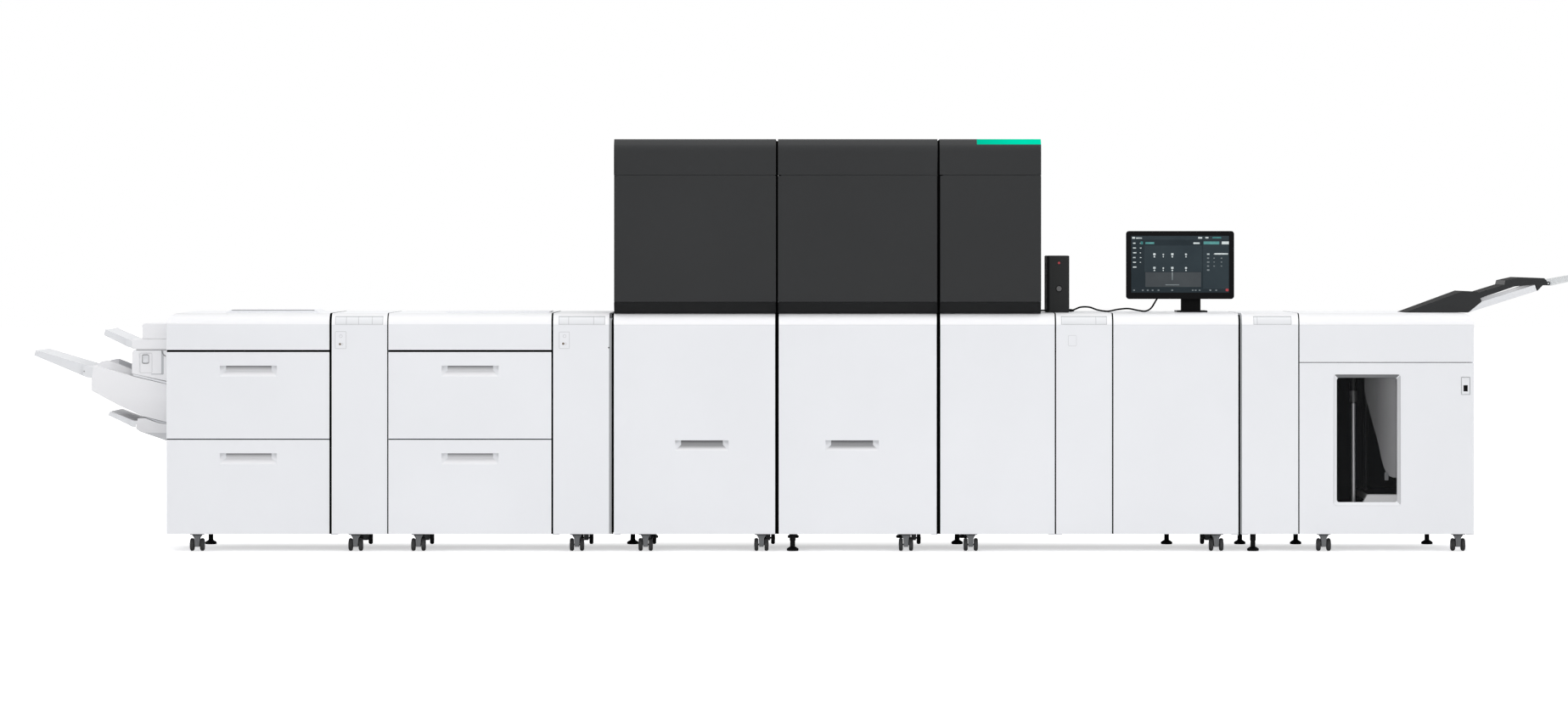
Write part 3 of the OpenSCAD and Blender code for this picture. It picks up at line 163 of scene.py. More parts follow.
cover_white = surface("cover_white", (0.80, 0.81, 0.835), (0.825, 0.835, 0.86), 0.42, relief=0.04)
strip_white = surface("strip_white", (0.75, 0.76, 0.78), (0.78, 0.79, 0.81), 0.4)
strip_line = surface("strip_line", (0.53, 0.535, 0.55), (0.57, 0.575, 0.59), 0.5)
line_pale = surface("line_pale", (0.50, 0.51, 0.53), (0.54, 0.55, 0.57), 0.5)
line_mid = surface("line_mid", (0.34, 0.35, 0.36), (0.38, 0.39, 0.40), 0.5)
# Painted shade: grey for shaded sides in the seams and the line over the stacker's door
seam_shade_grey = surface("seam_shade_grey", (0.34, 0.35, 0.36), (0.38, 0.39, 0.40), 0.5)
tray_white = surface("tray_white", (0.74, 0.75, 0.77), (0.77, 0.78, 0.80), 0.5, relief=0.03)
line_grey = surface("line_grey", (0.24, 0.245, 0.25), (0.28, 0.285, 0.29), 0.5)
tower_grey = surface(
    "tower_grey", (0.0245, 0.0255, 0.0265), (0.027, 0.028, 0.029), 0.48, grain=1200, relief=0.12,
    Specular_IOR_Level=0.2,
)
# Painted shade for the slanted undercut band under the towers
band_painted_shade = surface(
    "band_painted_shade", (0.008, 0.0085, 0.009), (0.010, 0.0105, 0.011), 0.5, grain=1200, relief=0.1,
    Specular_IOR_Level=0.15,
)
black_plastic = surface(
    "black_plastic", (0.0025, 0.0025, 0.003), (0.004, 0.004, 0.0045), 0.38, relief=0.08,
    Specular_IOR_Level=0.08,
)
console_grey = surface(
    "console_grey", (0.015, 0.016, 0.016), (0.018, 0.019, 0.019), 0.4, relief=0.08,
    Specular_IOR_Level=0.2,
)
steel = surface(
    "steel", (0.50, 0.51, 0.52), (0.58, 0.59, 0.60), 0.34, grain=260, metallic=1.0,
    stretch=(1, 30, 30),
)
zinc = surface(
    "zinc", (0.50, 0.51, 0.52), (0.62, 0.63, 0.64), 0.4, grain=300, metallic=1.0, cloud=30
)
rubber = surface(
    "rubber", (0.022, 0.022, 0.022), (0.035, 0.035, 0.036), 0.75, grain=900, relief=0.3
)
fork_grey = surface("fork_grey", (0.13, 0.135, 0.14), (0.16, 0.165, 0.17), 0.45, relief=0.08)
drum_green = surface("drum_green", (0.01, 0.16, 0.10), (0.015, 0.2, 0.13), 0.15, relief=0.01)
belt_brown = surface("belt_brown", (0.06, 0.03, 0.015), (0.08, 0.04, 0.02), 0.25, relief=0.02)
toner_matt = surface(
    "toner_matt", (0.004, 0.004, 0.0045), (0.006, 0.006, 0.0065), 0.6, Specular_IOR_Level=0.05
)
toner_black = surface("toner_black", (0.015, 0.015, 0.016), (0.025, 0.025, 0.026), 0.42)
# Painted shade: near black for the dark inside of the stacking bay
bay_painted_shade = surface(
    "bay_painted_shade", (0.006, 0.006, 0.007), (0.009, 0.009, 0.010), 0.6, Specular_IOR_Level=0.1
)
# Painted shadow: near black for the dark seams between covers
seam_shadow_black = surface(
    "seam_shadow_black", (0.001, 0.001, 0.001), (0.002, 0.002, 0.002), 0.9, Specular_IOR_Level=0.0
)
# Dark for vent slots, where it is painted shade inside the openings, and for the power inlets'
# sockets
vent_dark = surface(
    "vent_dark", (0.012, 0.012, 0.013), (0.018, 0.018, 0.019), 0.7, Specular_IOR_Level=0.2
)
lamp_red = surface("lamp_red", (0.42, 0.02, 0.03), (0.5, 0.03, 0.04), 0.3)
lock_brass = surface("lock_brass", (0.16, 0.13, 0.10), (0.24, 0.2, 0.16), 0.4, metallic=1.0)
SCREEN_GLOSS = {"Specular_IOR_Level": 0.05}
screen_blue = surface(
    "screen_blue", (0.021, 0.030, 0.036), (0.025, 0.035, 0.042), 0.3, cloud=6, **SCREEN_GLOSS
)
screen_panel = surface(
    "screen_panel", (0.030, 0.042, 0.050), (0.036, 0.050, 0.058), 0.3, cloud=6, **SCREEN_GLOSS
)
screen_light = surface(
    "screen_light", (0.50, 0.56, 0.57), (0.72, 0.78, 0.78), 0.3, cloud=20, **SCREEN_GLOSS
)
screen_teal = surface(
    "screen_teal", (0.05, 0.20, 0.20), (0.12, 0.34, 0.33), 0.3, cloud=20, **SCREEN_GLOSS
)
screen_floor = surface(
    "screen_floor", (0.060, 0.068, 0.074), (0.074, 0.083, 0.089), 0.3, cloud=6, **SCREEN_GLOSS
)
screen_dim = surface(
    "screen_dim", (0.16, 0.19, 0.20), (0.26, 0.29, 0.30), 0.3, cloud=20, **SCREEN_GLOSS
)
button_grey = surface("button_grey", (0.10, 0.10, 0.10), (0.13, 0.13, 0.13), 0.35)
rear_rod_painted_shade = surface("rear_rod_painted_shade", (0.02, 0.02, 0.02), (0.03, 0.03, 0.03), 0.5, metallic=0.6)
rim_shade = surface("rim_shade", (0.16, 0.165, 0.17), (0.20, 0.205, 0.21), 0.5)
# Painted light: a brighter copy of the tray white for surfaces that lie in shade
ledge_painted_light = surface("ledge_painted_light", (0.86, 0.86, 0.87), (0.9, 0.9, 0.91), 0.5)
back_grey = surface("back_grey", (0.62, 0.63, 0.65), (0.66, 0.67, 0.69), 0.5)


def clear(name, colour, opacity, roughness=0.08, **sockets):
    """A see-through plastic or glass with a slight unevenness in its gloss."""
    dark = [c * 0.9 for c in colour]
    return surface(
        name, dark, colour, roughness, grain=40, relief=0.02, Alpha=opacity, **sockets
    )


smoked_glass = clear("smoked_glass", (0.02, 0.021, 0.022), 0.16, Specular_IOR_Level=0.12)
clear_plastic = clear("clear_plastic", (0.74, 0.76, 0.77), 0.6, 0.2)


light_green = surface(
    "light_green", (0.0, 0.14, 0.09), (0.0, 0.17, 0.11), 0.5, cloud=8, Specular_IOR_Level=0.0
)


def share_along(nodes, links, axis, start, end):
    """A node that goes from 0 to 1 between two places on an axis, in millimetres."""
    place = nodes.new("ShaderNodeTexCoord")
    parts = nodes.new("ShaderNodeSeparateXYZ")
    links.new(place.outputs["Object"], parts.inputs["Vector"])
    share = nodes.new("ShaderNodeMapRange")
    for socket, value in (("From Min", start), ("From Max", end)):
        share.inputs[socket].default_value = at(value, value, value)["XYZ".index(axis)]
    links.new(parts.outputs[axis], share.inputs["Value"])
    return share


def tint_along(mat, axis, start, end, stops):
    """Colour that goes through grey tones, given as (share, tone), along an axis."""
    nodes, links = mat.node_tree.nodes, mat.node_tree.links
    share = share_along(nodes, links, axis, start, end)
    ramp = nodes.new("ShaderNodeValToRGB")
    elements = ramp.color_ramp.elements
    while len(elements) < len(stops):
        elements.new(0.5)
    for element, (position, tone) in zip(elements, stops):
        element.position = position
        element.color = (tone, tone, tone * 1.02, 1)
    links.new(share.outputs["Result"], ramp.inputs["Fac"])
    links.new(ramp.outputs["Color"], nodes["Principled BSDF"].inputs["Base Color"])


# Painted light and shade behind the pane: near black on the left, lit grey on the right
sheet_painted_light = surface(
    "sheet_painted_light", (0.07, 0.07, 0.072), (0.3, 0.3, 0.31), 0.4, Specular_IOR_Level=0.2
)
tint_along(sheet_painted_light, "X", 5411, 5560, [(0.0, 0.05), (0.45, 0.13), (1.0, 0.36)])
rod_steel_painted_light = surface(
    "rod_steel_painted_light", (0.3, 0.3, 0.3), (0.4, 0.4, 0.4), 0.35, grain=260, metallic=0.7,
    stretch=(30, 30, 1),
)
# Painted light on the front guide rod: pale low down where light comes through the window, dark
# higher up in the bay
ROD_LIGHT_STEPS = [(0.0, 0.75), (0.24, 0.75), (0.28, 0.18), (0.82, 0.18), (0.86, 0.02)]
tint_along(rod_steel_painted_light, "Z", 640, 740, ROD_LIGHT_STEPS)
# Painted highlight on the cabinets' rounded front top edges, brightest low on the rounding and
# dimmer towards the top
cap_painted_highlight = surface("cap_painted_highlight", (0.80, 0.81, 0.835), (0.825, 0.835, 0.86), 0.42, relief=0.04)
CAP_HIGHLIGHT_STEPS = [(0.0, 0.95), (0.4, 0.90), (0.75, 0.80), (1.0, 0.74)]
tint_along(cap_painted_highlight, "Z", CAP_Z, TOP_Z, CAP_HIGHLIGHT_STEPS)
# Painted shade on the bypass unit's white, darker towards the bottom under the trays
bypass_painted_shade = surface("bypass_painted_shade", (0.80, 0.81, 0.82), (0.82, 0.83, 0.84), 0.42, relief=0.04)
BYPASS_SHADE_STEPS = [(0.0, 0.68), (0.22, 0.76), (0.4, 0.83), (0.7, 0.85), (1.0, 0.85)]
tint_along(bypass_painted_shade, "Z", 500, 1000, BYPASS_SHADE_STEPS)
# Painted shade on the bypass paper guides, darker towards their right ends
fence_shade = surface("fence_shade", (0.5, 0.5, 0.5), (0.6, 0.6, 0.6), 0.5)
FENCE_STEPS = [(0.0, 0.84), (0.3, 0.82), (0.45, 0.76), (1.0, 0.66)]
tint_along(fence_shade, "X", -340, -172, FENCE_STEPS)
# Painted shade on the output tray's web, lightest past its middle and darkest at its right end
web_shade = surface("web_shade", (0.5, 0.5, 0.5), (0.6, 0.6, 0.6), 0.5)
WEB_STEPS = [(0.0, 0.55), (0.6, 0.66), (0.8, 0.40), (1.0, 0.20)]
tint_along(web_shade, "X", 5965, 6230, WEB_STEPS)


# Painted shade inside the finger grips, from their lower lip up to the deep top
DRAWER_GRIP = [
    (0.0, 0.86), (0.3, 0.84), (0.5, 0.74), (0.66, 0.60), (0.8, 0.44), (0.9, 0.30), (1.0, 0.13)
]
ENGINE_GRIP = [
    (0.0, 0.86), (0.18, 0.76), (0.3, 0.60), (0.48, 0.38), (0.75, 0.27), (0.9, 0.14), (1.0, 0.05)
]
GRIPS = {
    "feeder_upper_grip": (792, 841, DRAWER_GRIP), "feeder_lower_grip": (395.5, 444.5, DRAWER_GRIP),
    "engine_grip": (457, 503, ENGINE_GRIP),
}
grip_shades = {}
for name, (low, top, stops) in GRIPS.items():
    grip_shades[name] = surface(
        name, (0.7, 0.7, 0.71), (0.8, 0.8, 0.82), 0.5, relief=0.02, Specular_IOR_Level=0.2
    )
    tint_along(grip_shades[name], "Z", low, top, stops)


def glow_along(mat, start, end, dim, bright):
    """Green light that grows from one end of a lamp to the other."""
    nodes, links = mat.node_tree.nodes, mat.node_tree.links
    shader = nodes["Principled BSDF"]
    strength = share_along(nodes, links, "X", start, end)
    strength.inputs["To Min"].default_value = dim
    strength.inputs["To Max"].default_value = bright
    shader.inputs["Emission Color"].default_value = (0.0, 0.74, 0.45, 1)
    links.new(strength.outputs["Result"], shader.inputs["Emission Strength"])


glow_along(light_green, 3667, 3880, 0.52, 0.72)


# Making pieces
def piece(name, bm, material, body, smooth=28, outwards=False):
    """Turns a bmesh into a piece that rides on a CAD body."""
    if outwards:
        bmesh.ops.recalc_face_normals(bm, faces=bm.faces)
    mesh = bpy.data.meshes.new(name)
    bm.to_mesh(mesh)
    bm.free()
    for mat in material if isinstance(material, (list, tuple)) else (material,):
        mesh.materials.append(mat)
    mesh.shade_smooth()
    mesh.set_sharp_from_angle(angle=math.radians(smooth))
    obj = bpy.data.objects.new(name, mesh)
    bpy.context.collection.objects.link(obj)
    weigh(obj)
    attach(obj, body)
    return obj


def weigh(obj):
    """Large flat faces keep their own normals beside rounded edges."""
    modifier = obj.modifiers.new("flat faces first", "WEIGHTED_NORMAL")
    modifier.mode = "FACE_AREA"
    modifier.keep_sharp = True


def bevel(bm, edges, width, segments=2, clamp=True):
    bmesh.ops.bevel(
        bm, geom=edges, offset=width * MM, offset_type="OFFSET", segments=segments,
        profile=0.5, affect="EDGES", material=-1, clamp_overlap=clamp,
    )


def add_block(bm, low, high, width=1.0, segments=2, index=0):
    """A block with soft edges, between two corners in millimetres."""
    before = set(bm.faces)
    made = bmesh.ops.create_cube(bm, size=1.0)["verts"]
    lo, hi = at(*low), at(*high)
    bmesh.ops.scale(bm, vec=hi - lo, verts=made)
    bmesh.ops.translate(bm, vec=(lo + hi) / 2, verts=made)
    if width:
        bevel(bm, list({e for v in made for e in v.link_edges}), width, segments)
    for face in set(bm.faces) - before:
        face.material_index = index


TURN = {
    "x": Matrix.Rotation(math.radians(90), 4, "Y"), "y": Matrix.Rotation(math.radians(-90), 4, "X"),
}


def add_round(
    bm, centre, radius, length, axis="y", end_radius=None, sides=32, width=0.0, index=0
):
    """A round post from its first end along an axis, its end edges softened."""
    before = set(bm.faces)
    turn = TURN[axis]
    start = at(*centre)
    made = bmesh.ops.create_cone(
        bm, cap_ends=True, segments=sides, radius1=radius * MM,
        radius2=(radius if end_radius is None else end_radius) * MM, depth=length * MM,
        matrix=Matrix.Translation(start) @ turn @ Matrix.Translation((0, 0, length * MM / 2)),
    )["verts"]
    if width:
        rim = {e for v in made for e in v.link_edges if any(len(f.verts) > 4 for f in e.link_faces)}
        bevel(bm, list(rim), width)
    for face in set(bm.faces) - before:
        face.material_index = index


def crossing(bm):
    """Whether two faces that share no corner cut each other."""
    bm.faces.ensure_lookup_table()
    tree = BVHTree.FromBMesh(bm)
    return any(
        not set(bm.faces[a].verts) & set(bm.faces[b].verts) for a, b in tree.overlap(tree) if a < b
    )


# Least angle of a sharp edge, reach of a side and shortest edge that is softened
SHARP, SAME_SIDE, SHORT = 0.6, 2e-4, 0.03
WIDTH_SHARES = (1.0, 0.7, 0.45, 0.2)


def outer_edges(bm):
    """The sharp long edges that lie on the piece's own outer faces."""
    lows = [min(v.co[i] for v in bm.verts) for i in range(3)]
    highs = [max(v.co[i] for v in bm.verts) for i in range(3)]

    def sides(v):
        return {
            (i, k) for i in range(3) for k, limit in enumerate((lows, highs))
            if abs(v.co[i] - limit[i]) < SAME_SIDE
        }

    return [
        e for e in bm.edges
        if e.is_manifold and e.calc_face_angle(0) > SHARP and e.calc_length() > SHORT
        and sides(e.verts[0]) & sides(e.verts[1])
    ]


def body_of(node):
    obj = frame["nodes"][node]
    return obj.get("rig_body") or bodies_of(obj)[0]


def softened(node, width, material, pick=None, extra=None, paint=None, grow=None):
    """A copy of a CAD node with softened outer edges, which stands for the node."""
    for share in WIDTH_SHARES:
        bm = bmesh.new()
        bm.from_mesh(frame["nodes"][node].data)
        bmesh.ops.remove_doubles(bm, verts=bm.verts, dist=1e-6)
        bmesh.ops.dissolve_limit(
            bm, angle_limit=math.radians(0.6), verts=bm.verts, edges=bm.edges
        )
        if grow:
            grow(bm)
        for size, chosen in (extra or []):
            sharp = [e for e in bm.edges if e.is_manifold and e.calc_face_angle(0) > SHARP]
            bevel(bm, [e for e in sharp if chosen(e)], size, 6, clamp=False)
        edges = [e for e in outer_edges(bm) if pick is None or pick(e)]
        if edges and width:
            bevel(bm, edges, width * share, clamp=False)
        if not width or share == WIDTH_SHARES[-1] or not crossing(bm):
            break
        bm.free()
    if paint:
        bm.normal_update()
        for face in bm.faces:
            face.material_index = paint(face)
    obj = piece(f"{node}_cover", bm, material, body_of(node))
    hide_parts(node)


SLOTS = {s["node"]: s["material_slot"] for s in frame["record"]["subparts"]}

# Monitor cable, its route repeated from the solids
CABLE_START = Vector((4101, 260, 1088.3))
CABLE_END = Vector((4612, 381, 1194))
CABLE_D = 8
CABLE_SHARES = (
    (0.0333, 0, 1.5), (0.0959, 0.0165, 3), (0.1742, 0.0661, 3), (0.2524, 0.1322, 1.375),
    (0.3405, 0.2149, 0.625), (0.4286, 0.314, 1.625), (0.5264, 0.4298, 2.125),
    (0.6145, 0.562, 1.125), (0.6869, 0.7107, 0.625), (0.7417, 0.843, 2.375),
    (0.7906, 0.942, 7.125), (0.8395, 0.9917, 11.625), (0.908, 1, 14),
)
span = CABLE_END - CABLE_START
route = [CABLE_START]
for along, deep, high in CABLE_SHARES:
    x, y = CABLE_START.x + span.x * along, CABLE_START.y + span.y * deep
    route.append(Vector((x, y, TOP_Z + CABLE_D * high)))
route.append(CABLE_END)


def between(a, b, c, d, t):
    """A place on the smooth curve from b to c, at a share of the way."""
    bend = (a * 2 - b * 5 + c * 4 - d) * t * t
    twist = (b * 3 - a - c * 3 + d) * t * t * t
    return (b * 2 + (c - a) * t + bend + twist) / 2


def cable():
    steps = 6
    points = []
    for i in range(len(route) - 1):
        a, b, c, d = (route[max(0, min(len(route) - 1, i + k))] for k in (-1, 0, 1, 2))
        points += [at(*between(a, b, c, d, k / steps)) for k in range(steps)]
    points.append(at(*route[-1]))
    curve = bpy.data.curves.new("monitor_lead", "CURVE")
    curve.dimensions = "3D"
    curve.bevel_depth = CABLE_D * MM / 2
    curve.bevel_resolution = 4
    spline = curve.splines.new("POLY")
    spline.points.add(len(points) - 1)
    for point, place in zip(spline.points, points):
        point.co = (*place, 1)
    curve.materials.append(black_plastic)
    lead = bpy.data.objects.new("monitor_lead", curve)
    bpy.context.collection.objects.link(lead)
    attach(lead, "machine")
    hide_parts("monitor_cable")


cable()

# Finishes of the CAD nodes that keep their own mesh
KEEP = {
    "steel": steel, "black_plastic": black_plastic, "drum_green": drum_green,
    "belt_brown": belt_brown, "smoked_glass": smoked_glass, "clear_plastic": clear_plastic,
    "switch_white": tray_white, "caster_tyre": rubber, "fork_grey": fork_grey,
    "status_green": light_green, "cover_white": cover_white, "tower_grey": tower_grey,
}
for node, obj in frame["nodes"].items():
    obj.data.materials.clear()
    obj.data.materials.append(KEEP[SLOTS[node]])
frame["nodes"]["toner_cartridges"].data.materials[0] = toner_black
frame["nodes"]["console_button"].data.materials[0] = button_grey


# Covers with softened edges
DOOR_TOP = 1025.5
DOOR_T = 30


def upright(e):
    a, b = (v.co for v in e.verts)
    return abs(a.x - b.x) + abs(a.y - b.y) < 1e-4


def front_edge(x, reach, shortest=0.0):
    """Picks the upright edges at a place along the line that lie near the front."""
    side = at(x, 0, 0).x
    return lambda e: (
        upright(e) and all(abs(v.co.x - side) < MM for v in e.verts)
        and all(v.co.y < FRONT + reach * MM for v in e.verts) and e.calc_length() > shortest
    )


def smooth_seam(e):
    """Edges that meet another cover of the same face stay sharp, so no line shows between them."""
    levels = (DOOR_TOP, CAP_Z)
    return not (
        all(v.co.y < FRONT + MM for v in e.verts)
        and any(all(abs(v.co.z - level * MM) < 0.4 * MM for v in e.verts) for level in levels)
    )


def close_up(bm):
    """The door's top reaches up to the cap, with a hair of room."""
    tops = [
        v for v in bm.verts
        if abs(v.co.z - DOOR_TOP * MM) < 0.3 * MM and v.co.y < FRONT + (DOOR_T + 0.5) * MM
    ]
    bmesh.ops.translate(bm, vec=(0, 0, (CAP_Z - DOOR_TOP - 0.25) * MM), verts=tops)


TRAYS = (
    "stacker_tray", "bypass_extension", "bypass_upper_tray", "bypass_lower_tray",
    "stacker_lift_tray",
)
# Upper faces of the lower bypass tray get painted light, those of the lifting tray painted shade
TRAY_TOPS_PAINTED_LIGHT_AND_SHADE = {"bypass_lower_tray": ledge_painted_light, "stacker_lift_tray": bay_painted_shade}
DRESSED_LATER = ("bypass_tray", "bypass_housing")
FINE_EDGES = ("stacker_door", "stacker_cabinet")
DOORS = [f"relay_{i}_door" for i in (1, 2, 3, 4)]
DOORS += ["engine_left_door", "engine_mid_door", "engine_end_door", "exit_door"]
SEAM_SIDE = {
    "engine_mid_door": [(7, front_edge(TOWERS["mid"][1], 10))],
    "engine_end_door": [(5, front_edge(TOWERS["end"][0], 10))],
}


def cap_face(face):
    """The rounded front top edge of a cabinet, which gets the painted highlight."""
    place = face.calc_center_median()
    high = place.z > (CAP_Z - 0.5) * MM and face.normal.z < 0.999
    return int(high and place.y < FRONT + (ROUND_Y + 1) * MM)


for node, kind in SLOTS.items():
    if kind == "cover_white" and node not in TRAYS and node not in DRESSED_LATER:
        softened(
            node, 1.2 if node in FINE_EDGES else 2.2, [cover_white, cap_painted_highlight], pick=smooth_seam,
            extra=SEAM_SIDE.get(node), grow=close_up if node in DOORS else None, paint=cap_face,
        )


def upper_side(face):
    return int(face.normal.z > 0.5)


for node in TRAYS:
    softened(node, 1.0, [tray_white, TRAY_TOPS_PAINTED_LIGHT_AND_SHADE.get(node, tray_white)], paint=upper_side)


def foot_band(face):
    """The slanted band under a tower gets painted shade, darker than the rest."""
    place = face.calc_center_median()
    return int(place.z < (BAND_Z - 0.5) * MM and place.y < FRONT + DOOR_T * MM)


OUTER_CORNER = [(16, front_edge(TOWERS["left"][0], DOOR_T, SHORT))]
MID_GAP, END_GAP = ([(9, front_edge(x, 20))] for x in (TOWERS["mid"][1], TOWERS["end"][0]))
TOWER_PARTS = {
    "tower_left": None, "tower_left_door": OUTER_CORNER, "toner_hood_left": OUTER_CORNER,
    "tower_mid": None, "tower_mid_door": MID_GAP, "toner_hood_mid": MID_GAP,
    "tower_end": None, "tower_end_door": END_GAP,
}
for node, extra in TOWER_PARTS.items():
    softened(node, 3.0, [tower_grey, band_painted_shade], extra=extra, paint=foot_band)
softened("stacker_tray_base", 2.0, [tower_grey, toner_matt], paint=upper_side)


def console_side(face):
    return int(face.normal.x < -0.5)


softened("console_box", 3.0, [console_grey, black_plastic], paint=console_side)


# The rear guide rod gets painted shade
def rear_rod(face):
    return int(face.calc_center_median().y > at(0, 300, 0).y)


softened("stacker_guide_rods", 0, [rod_steel_painted_light, rear_rod_painted_shade], paint=rear_rod)


# Loops and frames
LINE_Y = -0.3


def round_loop(bm, low, high, y, radius, steps=5):
    """A rounded rectangle facing the front, its corners in x and z."""
    before = set(bm.faces)
    lo, hi = at(low[0], y, low[1]), at(high[0], y, high[1])
    made = bmesh.ops.create_grid(bm, x_segments=1, y_segments=1, size=0.5)["verts"]
    stand = Matrix.Rotation(math.radians(90), 3, "X")
    bmesh.ops.rotate(bm, cent=(0, 0, 0), matrix=stand, verts=made)
    bmesh.ops.scale(bm, vec=(hi.x - lo.x, 1, hi.z - lo.z), verts=made)
    bmesh.ops.translate(bm, vec=(lo + hi) / 2, verts=made)
    if radius:
        bmesh.ops.bevel(
            bm, geom=made, offset=radius * MM, offset_type="OFFSET", segments=steps,
            profile=0.5, affect="VERTICES", material=-1, clamp_overlap=True,
        )
    return max(set(bm.faces) - before, key=lambda f: f.calc_area())


def outline(bm, low, high, y, radius, width, index):
    """A flat open frame with rounded corners, facing the front."""
    face = round_loop(bm, low, high, y, radius, 4)
    made = bmesh.ops.inset_region(
        bm, faces=[face], thickness=width * MM, use_even_offset=True, use_boundary=True
    )["faces"]
    for part in made:
        part.material_index = index
    bmesh.ops.delete(bm, geom=[face], context="FACES_ONLY")


def printed_frame(name, low, high, radius, width, finish, body):
    """A thin frame on a door, as a piece of its own."""
    bm = bmesh.new()
    outline(bm, low, high, LINE_Y, radius, width, 0)
    piece(name, bm, finish, body)


# Drawing out points, edges and faces
def verts_of(geom):
    return [g for g in geom if isinstance(g, bmesh.types.BMVert)]


def edges_of(geom):
    return [g for g in geom if isinstance(g, bmesh.types.BMEdge)]


def first_edge(bm, places):
    """An edge between two places, as the points and the edge."""
    verts = [bm.verts.new(place) for place in places]
    return verts, bm.edges.new(verts)


def pull(bm, edges, by):
    """Draws edges out and gives the new points and edges."""
    made = bmesh.ops.extrude_edge_only(bm, edges=edges)["geom"]
    verts = verts_of(made)
    bmesh.ops.translate(bm, vec=by, verts=verts)
    return verts, [e for e in edges_of(made) if all(v in verts for v in e.verts)]


def swing(bm, geom, centre, degrees, steps, axis=(-1, 0, 0), drift=(0, 0, 0)):
    """Draws edges round a centre and gives the last ones."""
    made = bmesh.ops.spin(
        bm, geom=geom, cent=centre, axis=axis, dvec=drift, angle=math.radians(degrees),
        steps=steps, use_merge=False, use_duplicate=False,
    )
    return edges_of(made["geom_last"])


def thicken(bm, face, depth):
    """Draws a face out into the machine's depth."""
    made = bmesh.ops.extrude_face_region(bm, geom=[face])["geom"]
    bmesh.ops.translate(bm, vec=(0, depth * MM, 0), verts=verts_of(made))


# Painted shadow bands in the seams, as middle, width, place behind the front and back
FLUSH = -0.12
CABINET_BACK, ENGINE_BACK = 755, 1100
SEAM_SHADOWS = (
    (742.5, 10.5, FLUSH, CABINET_BACK), (1001.5, 5.2, FLUSH, CABINET_BACK),
    (1745.5, 8.2, FLUSH, CABINET_BACK), (2018.5, 7, 2, CABINET_BACK),
    (2761.7, 16.5, FLUSH, ENGINE_BACK), (3492.4, 16, FLUSH, ENGINE_BACK),
    (4021.5, 6.4, FLUSH, CABINET_BACK), (4280.5, 6.4, FLUSH, CABINET_BACK),
    (4854.5, 8, 8, CABINET_BACK), (5122.5, 5, FLUSH, 720),
)
DRAWER_SEAM_SHADOWS = {"upper": (903, 913), "lower": (506.2, 510.8)}


def ribbon(bm, x0, x1, inset, back, index=0):
    """A band in a seam: up the front, round the top, back along it and down the back."""
    faces = set(bm.faces)
    low = UNDER_Z + 1
    verts, edge = first_edge(bm, [at(x, inset, low) for x in (x0, x1)])
    verts, edges = pull(bm, [edge], (0, 0, (ROUND_Z - low) * MM))
    edges = swing(bm, verts + edges, at(0, ROUND_Y, ROUND_Z), 90, 24)
    verts, edges = pull(bm, edges, (0, (back - ROUND_Y) * MM, 0))
    pull(bm, edges, (0, 0, (low - ROUND_Z - ROUND_R + inset) * MM))
    for face in set(bm.faces) - faces:
        face.material_index = index


def seam_shadows():
    """Painted shadow in the seams: bands between the cabinets, a line over the stacker's door and
    lines over the drawers.
    """
    bm = bmesh.new()
    for middle, width, inset, back in SEAM_SHADOWS:
        ribbon(bm, middle - width / 2, middle + width / 2, inset, back)
    # The grey band by the stacker's side and the line over its door are painted shade
    ribbon(bm, 4858.5, 4864.6, 8, 740, 1)
    add_block(bm, (STACKER_X + 3, 4, 854.4), (STACKER_END - 33, 22, 857.6), 0)
    piece("seam_shadow_bands", bm, [seam_shadow_black, seam_shade_grey], "machine")
    for number, x in enumerate(FEEDERS, 1):
        for level, (low, high) in DRAWER_SEAM_SHADOWS.items():
            drawer = f"feeder_{number}_{level}_drawer"
            bm = bmesh.new()
            add_block(bm, (x + 2, FLUSH, low), (x + FEEDER_W - 2, 0.9, high), 0.1)
            # Each drawer gets a painted shadow line over its seam
            piece(f"{drawer}_shadow_line", bm, seam_shadow_black, drawer)


def hood_seams():
    """Filler strips on the tower doors that make the seams under the hoods faint."""
    for name, (x0, x1) in TOWERS.items():
        bm = bmesh.new()
        add_block(bm, (x0 + 14, 0.3, 1698), (x1 - 4, 2.5, 1703.7), 0.2)
        piece(f"hood_seam_{name}", bm, tower_grey, f"tower_{name}_door")


def tower_seam_shadows():
    """Painted shadow bands between the towers, which follow their rounded tops."""
    bm = bmesh.new()
    low, centre = TOP_Z + 2, TOWER_TOP - TOWER_ROUND
    for gap in ((2756.6, 2766.9), (3487.9, 3498.6)):
        verts, edge = first_edge(bm, [at(x, 3, low) for x in gap])
        verts, edges = pull(bm, [edge], (0, 0, (centre - low) * MM))
        edges = swing(
            bm, verts + edges, at(0, TOWER_ROUND, centre), 70, 8, drift=(0, 0, -0.001)
        )
        pull(bm, edges, (0, 0.941, -0.012))
    piece("tower_seam_shadows", bm, seam_shadow_black, "machine")


seam_shadows()
hood_seams()
tower_seam_shadows()


# Rounded trim on the second relay cabinet's right side, its grey a painted shade on that side
def side_trim():
    bm = bmesh.new()
    x, y, radius = 2003.2, 16, 14
    verts, edge = first_edge(bm, [at(x, y, z) for z in (UNDER_Z + 1, CAP_Z + 30)])
    bmesh.ops.translate(bm, vec=(0, -radius * MM, 0), verts=verts)
    edges = swing(bm, verts + [edge], at(x, y, 0), 90, 7, axis=(0, 0, 1))
    pull(bm, edges, (0, 0.7, 0))
    bmesh.ops.solidify(bm, geom=bm.faces[:], thickness=0.0012)
    piece(
        "relay_2_side_trim", bm, seam_shade_grey, "machine", smooth=50, outwards=True
    )


side_trim()


